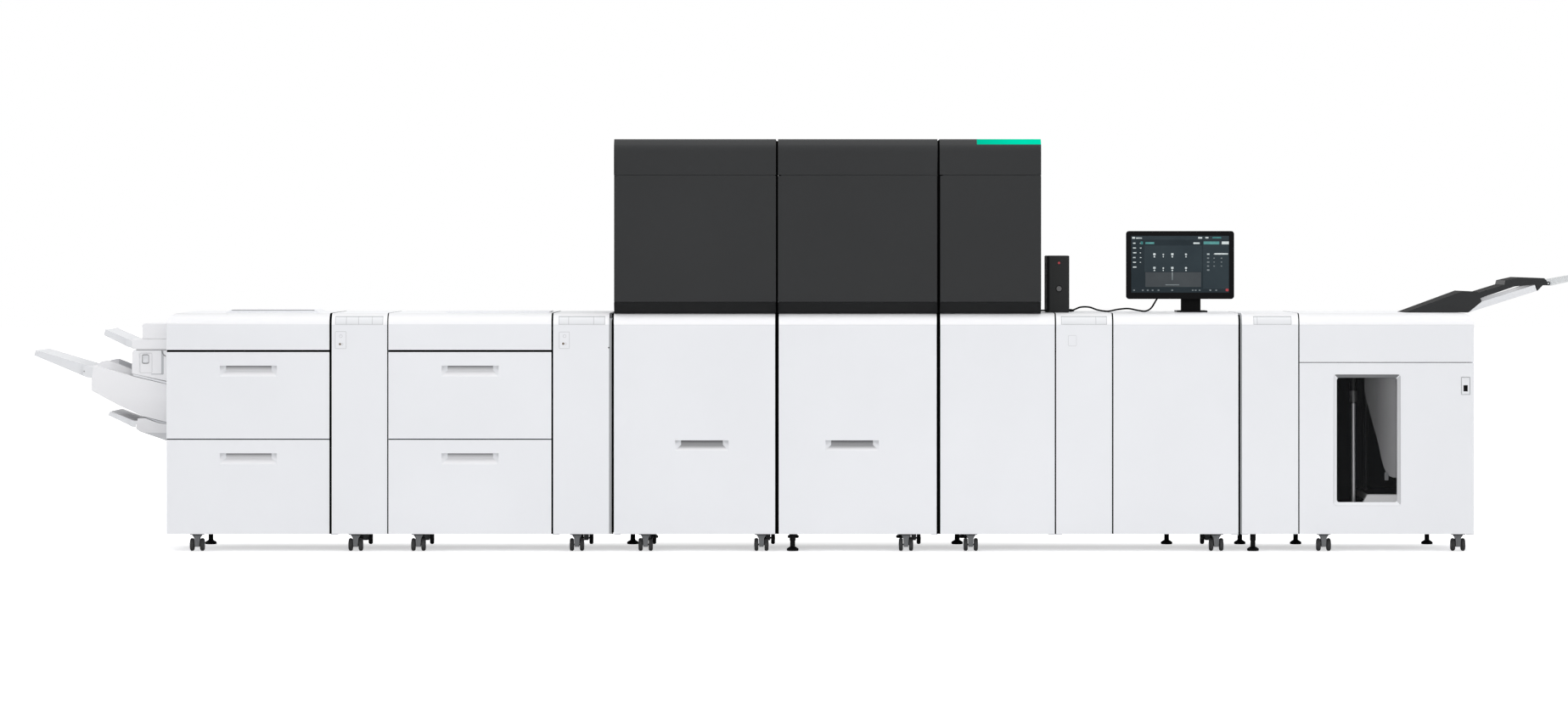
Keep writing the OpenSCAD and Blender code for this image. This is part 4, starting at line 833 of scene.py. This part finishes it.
# Indicator strips on the relay cabinets' rounded tops
def curved_strip(bm, x0, x1, low_turn, high_turn, radius, index=0):
    """A thin strip on the rounded top edge, between two turns up from the front."""
    before = set(bm.faces)
    verts, edge = first_edge(bm, [at(x, ROUND_Y - radius, ROUND_Z) for x in (x0, x1)])
    middle = at(0, ROUND_Y, ROUND_Z)
    turn = Matrix.Rotation(math.radians(-low_turn), 3, "X")
    bmesh.ops.rotate(bm, cent=middle, matrix=turn, verts=verts)
    swing(bm, verts + [edge], middle, high_turn - low_turn, 8)
    for face in set(bm.faces) - before:
        face.material_index = index


# Sides, bars between the fields and the knob of each strip
INDICATORS = {
    1: ((765, 979), (814, 869.5, 931), (852.5, 1034)),
    2: ((1775.5, 1983), (1819.5, 1933), (1858.5, 1035)),
    3: ((4048.5, 4253), (4204.5,), (4098, 1040.5)),
    4: ((4918.5, 5088), (4934.5,), None),
}
STRIP_R, LINE_R, LINE_HALF = ROUND_R + 0.15, ROUND_R + 0.3, 1.3
STRIP_LOW, STRIP_HIGH = -2, 42
for number, ((left, right), bars, knob) in INDICATORS.items():
    bm = bmesh.new()
    curved_strip(bm, left, right, STRIP_LOW, STRIP_HIGH, STRIP_R)
    # The darker line along each strip's top edge is painted shadow under the recess's upper lip
    curved_strip(bm, left - LINE_HALF, right + LINE_HALF, STRIP_HIGH - 1, 46, LINE_R, 1)
    for x in (left, right, *bars):
        curved_strip(bm, x - LINE_HALF, x + LINE_HALF, STRIP_LOW, STRIP_HIGH, LINE_R, 2)
    curved_strip(bm, left, right, STRIP_LOW, 0.3, LINE_R, 2)
    if knob:
        add_round(bm, (knob[0], 3.2, knob[1]), 3.0, 4.0, "y", width=0.6, index=1)
    finishes = [strip_white, line_mid, strip_line]
    piece(f"relay_{number}_indicator", bm, finishes, "machine", smooth=40)


# Lock plates on the relay doors
def lock_plate(number, low, high, ring_at, lock_at):
    """A thin outline with a ring above a brass lock and a smaller ring beside it."""
    bm = bmesh.new()
    outline(bm, low, high, LINE_Y, 5, 1.8, 1)
    beside = (lock_at[0] + 10, lock_at[1])
    for (x, z), radius, index in ((ring_at, 7.5, 1), (lock_at, 5.4, 2), (beside, 5.2, 1)):
        add_round(bm, (x, -0.5, z), radius, 0.7, "y", width=0.3, index=index)
        if index == 1:
            add_round(bm, (x, -0.6, z), radius - 1.6, 0.5, "y", width=0.2, index=0)
    finishes = [cover_white, strip_line, lock_brass]
    piece(f"relay_{number}_lock_plate", bm, finishes, f"relay_{number}_door")


lock_plate(1, (763, 918), (814, 997), (789, 975), (785, 939))
lock_plate(2, (1776, 918), (1824, 995), (1801, 975), (1795, 941))
printed_frame("relay_3_plate", (4079, 930), (4117, 979), 5, 1.2, strip_line, "relay_3_door")


def latch_dots():
    for door, x, z in (("relay_2", 2001, 923), ("relay_3", 4021.5, 925), ("exit", 4281.5, 925)):
        bm = bmesh.new()
        add_round(bm, (x, -0.5, z), 3.2, 1.6, "y", width=0.4)
        piece(f"{door}_latch", bm, black_plastic, f"{door}_door")


latch_dots()


# Stacker window and what shows behind it
GLASS_LOW, GLASS_HIGH = (5295, 223), (5568, 787)


def window_rim():
    """The pane's sloped surround: shaded under its top edge, half shaded on the right."""
    bm = bmesh.new()
    loops = (((5280.6, 208.6), (5582.4, 801.4), 0.5, 12), (GLASS_LOW, GLASS_HIGH, 8.8, 12))
    faces = [round_loop(bm, *loop) for loop in loops]
    bmesh.ops.bridge_loops(bm, edges=[e for face in faces for e in face.edges])
    bmesh.ops.delete(bm, geom=faces, context="FACES_ONLY")
    bmesh.ops.recalc_face_normals(bm, faces=bm.faces)
    if sum(f.normal.y * f.calc_area() for f in bm.faces) > 0:
        bmesh.ops.reverse_faces(bm, faces=bm.faces)
    for face in bm.faces:
        if face.normal.z < -0.3:
            face.material_index = 1
        elif face.normal.x < -0.3:
            face.material_index = 2
    finishes = [cover_white, rim_shade, strip_line]
    piece("window_rim", bm, finishes, "stacker_door", smooth=30)


window_rim()


def bay():
    """A near-black box in the stacking bay, open to the front, which paints the shade inside it."""
    bm = bmesh.new()
    lo, hi = at(5142.8, 34, 98), at(5896.2, 706, 835)
    made = bmesh.ops.create_cube(bm, size=1.0)["verts"]
    bmesh.ops.scale(bm, vec=hi - lo, verts=made)
    bmesh.ops.translate(bm, vec=(lo + hi) / 2, verts=made)
    front = min(bm.faces, key=lambda f: f.calc_center_median().y)
    bmesh.ops.delete(bm, geom=[front], context="FACES")
    bmesh.ops.reverse_faces(bm, faces=bm.faces)
    piece("bay_shade_box", bm, bay_painted_shade, "machine")


bay()


def sheet_guide():
    """A thin curved-edged guide plate behind the pane's right half, in painted light that grows to
    the right.
    """
    bm = bmesh.new()
    shape = (
        (5567, 786), (5421, 786), (5422, 718), (5436, 664), (5450, 614), (5464, 562),
        (5478, 512), (5488, 470), (5498, 420), (5508, 384), (5520, 358), (5535, 341),
        (5552, 334), (5567, 334),
    )
    verts = [bm.verts.new(at(x, 20, z)) for x, z in shape]
    bm.faces.new(verts)
    bmesh.ops.recalc_face_normals(bm, faces=bm.faces)
    if bm.faces[:][0].normal.y > 0:
        bmesh.ops.reverse_faces(bm, faces=bm.faces)
    bmesh.ops.solidify(bm, geom=bm.faces[:], thickness=0.0015)
    add_block(bm, (5512, 17, 322), (5530, 20, 358), 1.2, index=1)
    piece("sheet_guide", bm, [sheet_painted_light, rim_shade], "stacker_door")


sheet_guide()


def tray_lip():
    """The lifting tray's pale front lip with its slanted left end, brightened by painted light."""
    bm = bmesh.new()
    shape = ((5416, 222), (5436, 255), (5892, 258), (5892, 219), (5414, 219))
    verts = [bm.verts.new(at(x, 24, z)) for x, z in shape]
    thicken(bm, bm.faces.new(verts), 36)
    bevel(bm, [e for e in bm.edges if e.is_manifold], 1.2)
    piece("lift_tray_lip", bm, ledge_painted_light, "stacker_lift_tray", outwards=True)


tray_lip()
printed_frame(
    "stacker_switch_outline", (5856.8, 710), (5897.2, 790), 4, 2, line_mid, "stacker_door"
)


# Screen page and monitor, places being (u0, v0, u1, v1) in shares of the screen from its top left
SCREEN = (4384.2, 1169.2, 448.6, 260.6)
GROUND_Y, PANEL_Y, MARK_Y = 300.95, 300.8, 300.6
GROUND, PANEL, LIGHT, TEAL, FIELD, DIM, RED = range(7)
PANELS = ((0.135, 0.17, 0.722, 0.63), (0.0, 0.0, 1.0, 0.07), (0.735, 0.08, 0.998, 0.93))
LIGHT_BARS = (
    (0.01, 0.02, 0.04, 0.05), (0.05, 0.03, 0.11, 0.05), (0.685, 0.02, 0.725, 0.05),
    (0.758, 0.02, 0.79, 0.045),
)
TEAL_BARS = (
    (0.095, 0.10, 0.12, 0.15), (0.83, 0.02, 0.92, 0.045), (0.74, 0.10, 0.90, 0.15),
    (0.145, 0.11, 0.235, 0.145),
)
DIALS = ((0.237, 1.0), (0.328, 0.6), (0.42, 1.0), (0.56, 0.8))
FOOT_DOTS = (0.02, 0.11, 0.16, 0.21, 0.27, 0.41, 0.62, 0.65, 0.69, 0.80, 0.86)


def screen_page():
    """A made-up page of lists, dials and bars."""
    bm = bmesh.new()
    left, low, width, height = SCREEN

    def mark(box, index, y=MARK_Y, radius=1.0):
        u0, v0, u1, v1 = box
        near = (left + u0 * width, low + (1 - v1) * height)
        far = (left + u1 * width, low + (1 - v0) * height)
        round_loop(bm, near, far, y, radius, 3).material_index = index

    mark((0, 0, 1, 1), GROUND, GROUND_Y, 0)
    for box in PANELS:
        mark(box, PANEL, PANEL_Y)
    mark((0.145, 0.64, 0.715, 0.9), FIELD, PANEL_Y)
    for box in LIGHT_BARS:
        mark(box, LIGHT)
    for box in TEAL_BARS:
        mark(box, TEAL)
    mark((0.925, 0.10, 0.998, 0.15), LIGHT)
    mark((0.635, 0.115, 0.70, 0.145), LIGHT)
    for row in range(6):
        v = 0.12 + row * 0.084
        mark((0.018, v, 0.045 + 0.004 * (row % 3), v + 0.02), LIGHT)
        if row < 5:
            mark((0.088, v + 0.004, 0.10 + 0.006 * (row % 2), v + 0.018), LIGHT)
    for column, (u, size) in enumerate(DIALS):
        reach = 0.013 * size
        for v in (0.33, 0.57):
            mark((u - reach, v - 0.025 * size, u + reach, v + 0.012), LIGHT, radius=3)
            mark((u - reach * 0.6, v + 0.025, u + reach * 0.6, v + 0.05), LIGHT, radius=2)
        if column == 2:
            mark((u - 0.006, 0.64, u + 0.006, 0.78), DIM)
    mark((0.35, 0.855, 0.49, 0.87), DIM)
    mark((0.85, 0.305, 0.99, 0.33), LIGHT)
    for row in range(5):
        v = 0.31 + row * 0.07
        mark((0.775, v, 0.80 - 0.004 * (row % 2), v + 0.025), DIM if row else LIGHT)
        if row < 4:
            for u in (0.84, 0.915):
                mark((u, v + 0.005, u + 0.015, v + 0.02), DIM)
    for u in FOOT_DOTS:
        mark((u, 0.945, u + 0.018, 0.97), DIM)
    mark((0.965, 0.93, 0.995, 0.975), RED, radius=3)
    finishes = [
        screen_blue, screen_panel, screen_light, screen_teal, screen_floor, screen_dim, lamp_red,
    ]
    piece("screen_page", bm, finishes, "monitor")


screen_page()


# Console lamp and button ring
def console_marks():
    bm = bmesh.new()
    x = 3993 + 102 * 0.54
    outline(bm, (x - 15, 1173), (x + 15, 1203), 199.9, 14.9, 2.6, 0)
    add_round(bm, (x, 199.2, 1306), 5.5, 1.6, "y", width=0.5, index=1)
    add_block(bm, (3993.2, 199.4, 1082), (4005, 201, 1337), 0.7)
    piece("console_lamp", bm, [black_plastic, lamp_red], "machine")


console_marks()


# Shaded insides of the finger grips
GRIP_DEPTH, GRIP_TAPER, GRIP_GAP = 22, 26, 0.3


def grip_liner(name, middle, width, kind, body):
    """A skin on a grip's back and on its sloped floor, which carries the grip's painted shade."""
    low, top, _ = GRIPS[kind]
    turn = top - (top - low) * 0.45
    half = width / 2 - GRIP_TAPER - GRIP_GAP
    back = GRIP_DEPTH - GRIP_GAP
    bm = bmesh.new()
    _, edge = first_edge(bm, [at(middle + k * half, back, top - GRIP_GAP) for k in (-1, 1)])
    edges = [edge]
    for y, z, reach in ((back, turn, half), (GRIP_GAP, low + GRIP_GAP, width / 2 - GRIP_GAP)):
        verts, edges = pull(bm, edges, (0, 0, 0))
        for v in verts:
            v.co = at(middle + (reach if v.co.x > at(middle, 0, 0).x else -reach), y, z)
    piece(name, bm, grip_shades[kind], body)


for number, x in enumerate(FEEDERS, 1):
    for level in ("upper", "lower"):
        drawer = f"feeder_{number}_{level}_drawer"
        grip_liner(f"{drawer}_grip", x + FEEDER_W / 2, 258, f"feeder_{level}_grip", drawer)
grip_liner("engine_left_grip", 2422, 242, "engine_grip", "engine_left_door")
grip_liner("engine_mid_grip", 3101.5, 242, "engine_grip", "engine_mid_door")


# Strain reliefs where the monitor's cable enters its housings
def cable_relief(name, end, start, near, far, rib, step):
    """A ribbed sleeve that starts beside a cable's end and runs along x."""
    bm = bmesh.new()
    add_round(bm, (end.x + start, end.y, end.z), near, 20, "x", end_radius=far, width=0.5)
    for k in range(3):
        place = (end.x + rib + k * step, end.y, end.z)
        add_round(bm, place, 7.4 - k * 0.8, 2, "x", width=0.4)
    piece(name, bm, black_plastic, "machine")


cable_relief("console_cable_relief", CABLE_START, -1, 7.5, 4.4, 3, 5)
cable_relief("stand_cable_relief", CABLE_END, -20, 4.4, 7.5, -5, -5)


# Bypass tray details
BYPASS_Y, BYPASS_BACK = 150, 580


def add_plate(bm, points, y0, y1, index=0, width=0.4):
    """A plate with a drawn outline in x and z, between two depths."""
    before = set(bm.faces)
    edges_before = set(bm.edges)
    thicken(bm, bm.faces.new([bm.verts.new(at(x, y0, z)) for x, z in points]), y1 - y0)
    bmesh.ops.recalc_face_normals(bm, faces=list(set(bm.faces) - before))
    if width:
        bevel(bm, list(set(bm.edges) - edges_before), width)
    for part in set(bm.faces) - before:
        part.material_index = index


def bypass_cheeks():
    """Side plates that close the sides of the folding trays at their hinges."""
    cheeks = {
        "bypass_extension": (
            (-400, 843.2), (-353, 829.3), (-360, 781), (-382, 783.8), (-400, 791.3),
        ),
        "bypass_upper_tray": (
            (-205, 962.3), (-176, 950), (-176, 918), (-193, 921.7), (-205, 927.4),
        ),
        "bypass_lower_tray": (
            (-186, 592.8), (-157, 581.4), (-157, 556), (-174, 558.4), (-186, 563.8),
        ),
    }
    # Name, start of the plate and start of its pivot cap
    ends = (
        ("front", BYPASS_Y - 1.2, BYPASS_Y - 1.8), ("rear", BYPASS_BACK + 0.2, BYPASS_BACK + 0.8),
    )
    for body, points in cheeks.items():
        for side, y, cap_y in ends:
            bm = bmesh.new()
            add_plate(bm, points, y, y + 1)
            if body == "bypass_extension":
                add_round(bm, (-394, cap_y, 812), 3.2, 1.0, "y", width=0.3, index=1)
            piece(f"{body}_cheek_{side}", bm, [tray_white, line_grey], body)


bypass_cheeks()


def bypass_fillers():
    """Thin fillers between the feeding head, the tray's body and the lower tray's body; the lower
    ones are grey, painted shadow in that gap.
    """
    bm = bmesh.new()
    upper = ((-172, 791.8), (-172, 801), (-3, 761.2), (-3, 751))
    lower = (
        (-114, 600.9), (-112, 602), (-57, 588.6), (-2, 574.8), (-2, 571.6), (-57, 578.2),
    )
    for y0, y1 in ((BYPASS_Y + 0.6, BYPASS_Y + 4), (BYPASS_BACK - 4, BYPASS_BACK - 0.6)):
        add_plate(bm, upper, y0, y1)
        add_plate(bm, lower, y0 + 1, y1, 1, 0.2)
    piece("bypass_fillers", bm, [tray_white, line_pale], "machine")


bypass_fillers()


BYPASS_HOOK = (
    (-42.5, 906.5), (-37.5, 906.5), (-36, 898), (-31, 889.5), (-22, 883.5), (-22, 878.5),
    (-33, 884), (-40, 894),
)
LOWER_SHADE = ((-128, 533), (-2, 531), (-2, 491), (-22, 497))


def bypass_switch_frame():
    """Frames and lines round the switch, the hook beside it and the shade below."""
    bm = bmesh.new()
    outline(bm, (-141, 804.8), (-84.6, 895.3), BYPASS_Y + LINE_Y, 5, 1.4, 2)
    outline(bm, (-131, 846.5), (-99, 889.5), BYPASS_Y + LINE_Y, 8, 2.4, 1)
    # The top line, the upright line at the right and the hook line beside it are painted shade at
    # the pod's edges and in its recess
    for x0, z0, x1, z1, index in (
        (-157, 907.2, -14, 911, 1), (-43, 799, -32, 906, 0), (-89, 797.6, -36, 801.4, 0),
    ):
        add_block(bm, (x0, BYPASS_Y - 0.4, z0), (x1, BYPASS_Y + 0.4, z1), 0.2, index=index)
    finishes = [line_pale, line_grey, strip_line]
    piece("bypass_switch_frame", bm, finishes, "machine")
    bm = bmesh.new()
    add_plate(bm, BYPASS_HOOK, BYPASS_Y - 0.6, BYPASS_Y + 0.2, width=0)
    piece("bypass_hook_line", bm, line_grey, "machine")
    bm = bmesh.new()
    add_plate(bm, LOWER_SHADE, BYPASS_Y - 0.4, BYPASS_Y + 0.4, width=0.2)
    piece("bypass_lower_shade", bm, strip_line, "machine")


bypass_switch_frame()


def fence_side(face):
    """The inner sides of the bypass tray's two paper fences."""
    place = face.calc_center_median()
    inside = BYPASS_Y + 55 < (place.y - FRONT) / MM < BYPASS_BACK - 55
    fence = place.z > 0.80 and place.x < at(-170, 0, 0).x
    return int(inside and fence and abs(face.normal.y) > 0.8)


# The bypass tray and housing carry painted shade that darkens towards the bottom
softened("bypass_tray", 1.5, [bypass_painted_shade, strip_line], paint=fence_side)
softened("bypass_housing", 2.2, bypass_painted_shade)


def paper_guides():
    """Side guides that close the space beside the bypass tray's fences, with painted shade along
    them.
    """
    shape = (
        (-347, 836), (-325, 856), (-297, 861), (-283, 860), (-172, 816), (-172, 785), (-345, 830),
    )
    for name, y0, y1 in (("front", 196, 199), ("rear", 535, 538)):
        bm = bmesh.new()
        add_plate(bm, shape, y0, y1, width=0.8)
        piece(f"bypass_guide_{name}", bm, fence_shade, "machine")


paper_guides()


def tray_web():
    """The pale sheet support between the output tray's arm and its wall, with painted shade along
    it.
    """
    bm = bmesh.new()
    shape = ((5964, 1143), (6184, 1208), (6230, 1209), (6225, 1196), (5975, 1124))
    add_plate(bm, shape, 206, 208.5, width=0.5)
    piece("stacker_tray_web", bm, web_shade, body_of("stacker_tray"))


tray_web()


# Running gear
def fork_top(face):
    return int(face.calc_center_median().z > 0.0735)


softened("caster_forks", 0, [fork_grey, black_plastic], paint=fork_top)

CASTER_X = (133, 851.5, 1136, 1854.5, 2166, 2691, 3346.5, 3640, 4753, 5240, 5849)
REAR_CASTER_X = (851.5, 1136, 1875, 2166, 2717, 3392.5, 4753)
WHEEL_Z, WHEEL_SIDE = 29, 31.4


def hubs(name, places, y, body):
    """Hub caps on the outer sides of the twin wheels."""
    bm = bmesh.new()
    for x in places:
        for side in (-1, 1):
            start = x + WHEEL_SIDE if side > 0 else x - WHEEL_SIDE - 1.2
            add_round(bm, (start, y, WHEEL_Z), 13, 1.2, "x", width=0.5)
            add_round(bm, (start + side * 0.6, y, WHEEL_Z), 5, 1.2, "x", width=0.4, index=1)
    piece(name, bm, [fork_grey, zinc], body)


hubs("front_caster_hubs", CASTER_X, 60, "front_caster_wheels")
hubs("rear_caster_hubs", REAR_CASTER_X, 560, "rear_caster_wheels")


def pad_edge():
    """The dark front edge of the first feeder's raised top pad."""
    bm = bmesh.new()
    add_block(bm, (278, 149.2, 1089.5), (654, 151, 1092.6), 0.6)
    piece("feeder_1_pad_edge", bm, line_grey, "feeder_1_top_cover")


pad_edge()


# Service panels on the backs and sides
SCREW_INSET = 16


def panel_skin(name, bm, dark):
    skin = tower_grey if dark else back_grey
    piece(name, bm, [skin, vent_dark, zinc], "machine")


def back_panel(name, x0, x1, y, z0, z1, slots, dark=False):
    """A raised panel with vent slots near its top, screwed at its corners."""
    bm = bmesh.new()
    add_block(bm, (x0, y - 1, z0), (x1, y + 1, z1), 0.9)
    for x in (x0 + SCREW_INSET, x1 - SCREW_INSET):
        for z in (z0 + SCREW_INSET, z1 - SCREW_INSET):
            add_round(bm, (x, y + 0.6, z), 4.5, 1.4, "y", end_radius=3.6, sides=20, index=2)
    half = min(x1 - x0 - 90, 320) / 2
    middle = (x0 + x1) / 2
    # The vent slots are dark blocks, painted shade of the openings
    for k in range(slots):
        z = z1 - 60 - k * 15
        low, high = (middle - half, y + 0.4, z - 3), (middle + half, y + 1.4, z + 3)
        add_block(bm, low, high, 0.4, index=1)
    panel_skin(name, bm, dark)


for number, x in enumerate(FEEDERS, 1):
    back_panel(f"feeder_{number}_back_panel", x + 36, x + 705, CABINET_D, 120, 850, 10)
for number, x in enumerate(RELAYS, 1):
    back_panel(f"relay_{number}_back_panel", x + 28, x + 228, CABINET_D, 120, 1010, 6)
for number, (x, width) in enumerate(ENGINES, 1):
    back_panel(f"engine_{number}_back_panel", x + 40, x + width - 40, ENGINE_D, 120, 1030, 18)
back_panel("exit_back_panel", EXIT_X + 36, EXIT_X + EXIT_W - 36, CABINET_D, 120, 1010, 8)
back_panel("stacker_back_panel", STACKER_X + 40, STACKER_END - 40, STACKER_D, 120, 1010, 8)
for number, (x0, x1) in enumerate(TOWERS.values(), 1):
    back_panel(f"tower_{number}_back_panel", x0 + 40, x1 - 40, TOWER_D, 1130, 1820, 20, True)


def inlets():
    """Power inlets low on the engine modules' backs."""
    bm = bmesh.new()
    y = ENGINE_D
    for x, _ in ENGINES[:2]:
        add_block(bm, (x + 90, y - 0.5, 170), (x + 160, y + 2.4, 222), 1.0)
        add_block(bm, (x + 102, y + 1.2, 180), (x + 148, y + 3, 212), 0.8, index=1)
        for pin in (x + 112, x + 125, x + 138):
            add_block(bm, (pin - 2, y + 2.6, 190), (pin + 2, y + 3.6, 202), 0.4, index=2)
    piece("engine_power_inlets", bm, [back_grey, vent_dark, zinc], "machine")


inlets()


def side_panel(name, x, out, y0, y1, z0, z1, slots, dark=False):
    """A raised panel on a side, out being -1 to the left and 1 to the right."""
    bm = bmesh.new()

    def block(low, high, rise, depth, width, index=0):
        near, far = x - out * depth, x + out * rise
        add_block(bm, (min(near, far), *low), (max(near, far), *high), width, index=index)

    block((y0, z0), (y1, z1), 1, 1, 0.9)
    # The vent slots are dark blocks, painted shade of the openings
    for k in range(slots):
        z = z1 - 50 - k * 15
        block((y1 - 280, z - 3), (y1 - 60, z + 3), 1.4, 0.4, 0.4, 1)
    screw_x = x + (0.4 if out > 0 else -1.8)
    for y in (y0 + SCREW_INSET, y1 - SCREW_INSET):
        for z in (z0 + SCREW_INSET, z1 - SCREW_INSET):
            add_round(bm, (screw_x, y, z), 4.2, 1.4, "x", sides=20, index=2)
    panel_skin(name, bm, dark)


side_panel("stacker_side_panel", STACKER_END, 1, 60, 680, 130, 830, 8)
side_panel("feeder_1_side_panel", 0, -1, 60, 710, 110, 470, 4)
side_panel("tower_left_side_panel", TOWERS["left"][0], -1, 300, 960, 1140, 1690, 14, True)
side_panel("tower_end_side_panel", TOWERS["end"][1], 1, 300, 960, 1140, 1690, 14, True)


def tower_vents():
    """Vent rows on top of the towers, behind their hoods, as dark blocks painted with the shade
    inside.
    """
    bm = bmesh.new()
    for x0, x1 in TOWERS.values():
        for k in range(10):
            y = 640 + k * 22
            add_block(bm, (x0 + 110, y, TOWER_TOP - 1), (x1 - 110, y + 9, TOWER_TOP + 0.3), 0.4)
    piece("tower_top_vents", bm, vent_dark, "machine")


tower_vents()


# Studio
def emptied(owner):
    """An owner's nodes and links, with nothing in them yet."""
    owner.use_nodes = True
    owner.node_tree.nodes.clear()
    return owner.node_tree.nodes, owner.node_tree.links


def worked_out(nodes, links, operation, first, second):
    """The outcome of two sockets."""
    node = nodes.new("ShaderNodeMath")
    node.operation = operation
    links.new(first, node.inputs[0])
    links.new(second, node.inputs[1])
    return node.outputs["Value"]


def studio_world():
    """An even white room, and a plain white backdrop for the camera, gloss and glass."""
    world = bpy.data.worlds.new("studio")
    bpy.context.scene.world = world
    nodes, links = emptied(world)
    rays = nodes.new("ShaderNodeLightPath").outputs
    seen = worked_out(nodes, links, "MAXIMUM", rays["Is Camera Ray"], rays["Is Glossy Ray"])
    seen = worked_out(nodes, links, "MAXIMUM", seen, rays["Is Transmission Ray"])
    mix = nodes.new("ShaderNodeMixShader")
    links.new(seen, mix.inputs["Fac"])
    for k, level in ((1, 0.74), (2, 1.0)):
        background = nodes.new("ShaderNodeBackground")
        background.inputs["Color"].default_value = (1, 1, 1, 1)
        background.inputs["Strength"].default_value = level
        links.new(background.outputs["Background"], mix.inputs[k])
    out = nodes.new("ShaderNodeOutputWorld")
    links.new(mix.outputs["Shader"], out.inputs["Surface"])


studio_world()


def soft_box(name, place, target, size, power):
    lamp = bpy.data.lights.new(name, "AREA")
    lamp.shape = "RECTANGLE"
    lamp.size, lamp.size_y = size
    lamp.energy = power
    obj = bpy.data.objects.new(name, lamp)
    bpy.context.collection.objects.link(obj)
    obj.location = place
    obj.rotation_euler = (Vector(target) - Vector(place)).to_track_quat("-Z", "Y").to_euler()


soft_box("overhead", (0, -1.5, 6.0), (0, 0, 0.9), (10, 3), 165)
soft_box("front_fill", (0.8, -11.0, 4.0), (0.3, 0, 0.8), (14, 5), 140)
soft_box("left_fill", (-8.5, -6.0, 2.2), (-1.5, 0, 0.9), (3, 3), 26)
soft_box("right_fill", (8.5, -6.5, 2.2), (2.2, 0, 0.9), (3, 3), 38)


def studio_floor():
    """A pale floor that keeps the shadow and that the camera sees as white farther back."""
    mat = bpy.data.materials.new("studio_floor")
    nodes, links = emptied(mat)
    diffuse = nodes.new("ShaderNodeBsdfDiffuse")
    diffuse.inputs["Color"].default_value = (0.86, 0.86, 0.87, 1)
    fade = share_along(nodes, links, "Y", 300, 800)
    fade.interpolation_type = "SMOOTHSTEP"
    fade.inputs["To Min"].default_value = 0.52
    fade.inputs["To Max"].default_value = 1.0
    seen = nodes.new("ShaderNodeLightPath").outputs["Is Camera Ray"]
    lift = nodes.new("ShaderNodeEmission")
    lift.inputs["Color"].default_value = (1, 1, 1, 1)
    strength = worked_out(nodes, links, "MULTIPLY", seen, fade.outputs["Result"])
    links.new(strength, lift.inputs["Strength"])
    both = nodes.new("ShaderNodeAddShader")
    links.new(diffuse.outputs["BSDF"], both.inputs[0])
    links.new(lift.outputs["Emission"], both.inputs[1])
    out = nodes.new("ShaderNodeOutputMaterial")
    links.new(both.outputs["Shader"], out.inputs["Surface"])

    bm = bmesh.new()
    bmesh.ops.create_grid(bm, x_segments=1, y_segments=1, size=60)
    mesh = bpy.data.meshes.new("studio_floor")
    bm.to_mesh(mesh)
    bm.free()
    mesh.materials.append(mat)
    floor = bpy.data.objects.new("studio_floor", mesh)
    bpy.context.collection.objects.link(floor)


studio_floor()

bpy.context.scene.view_settings.view_transform = "Standard"
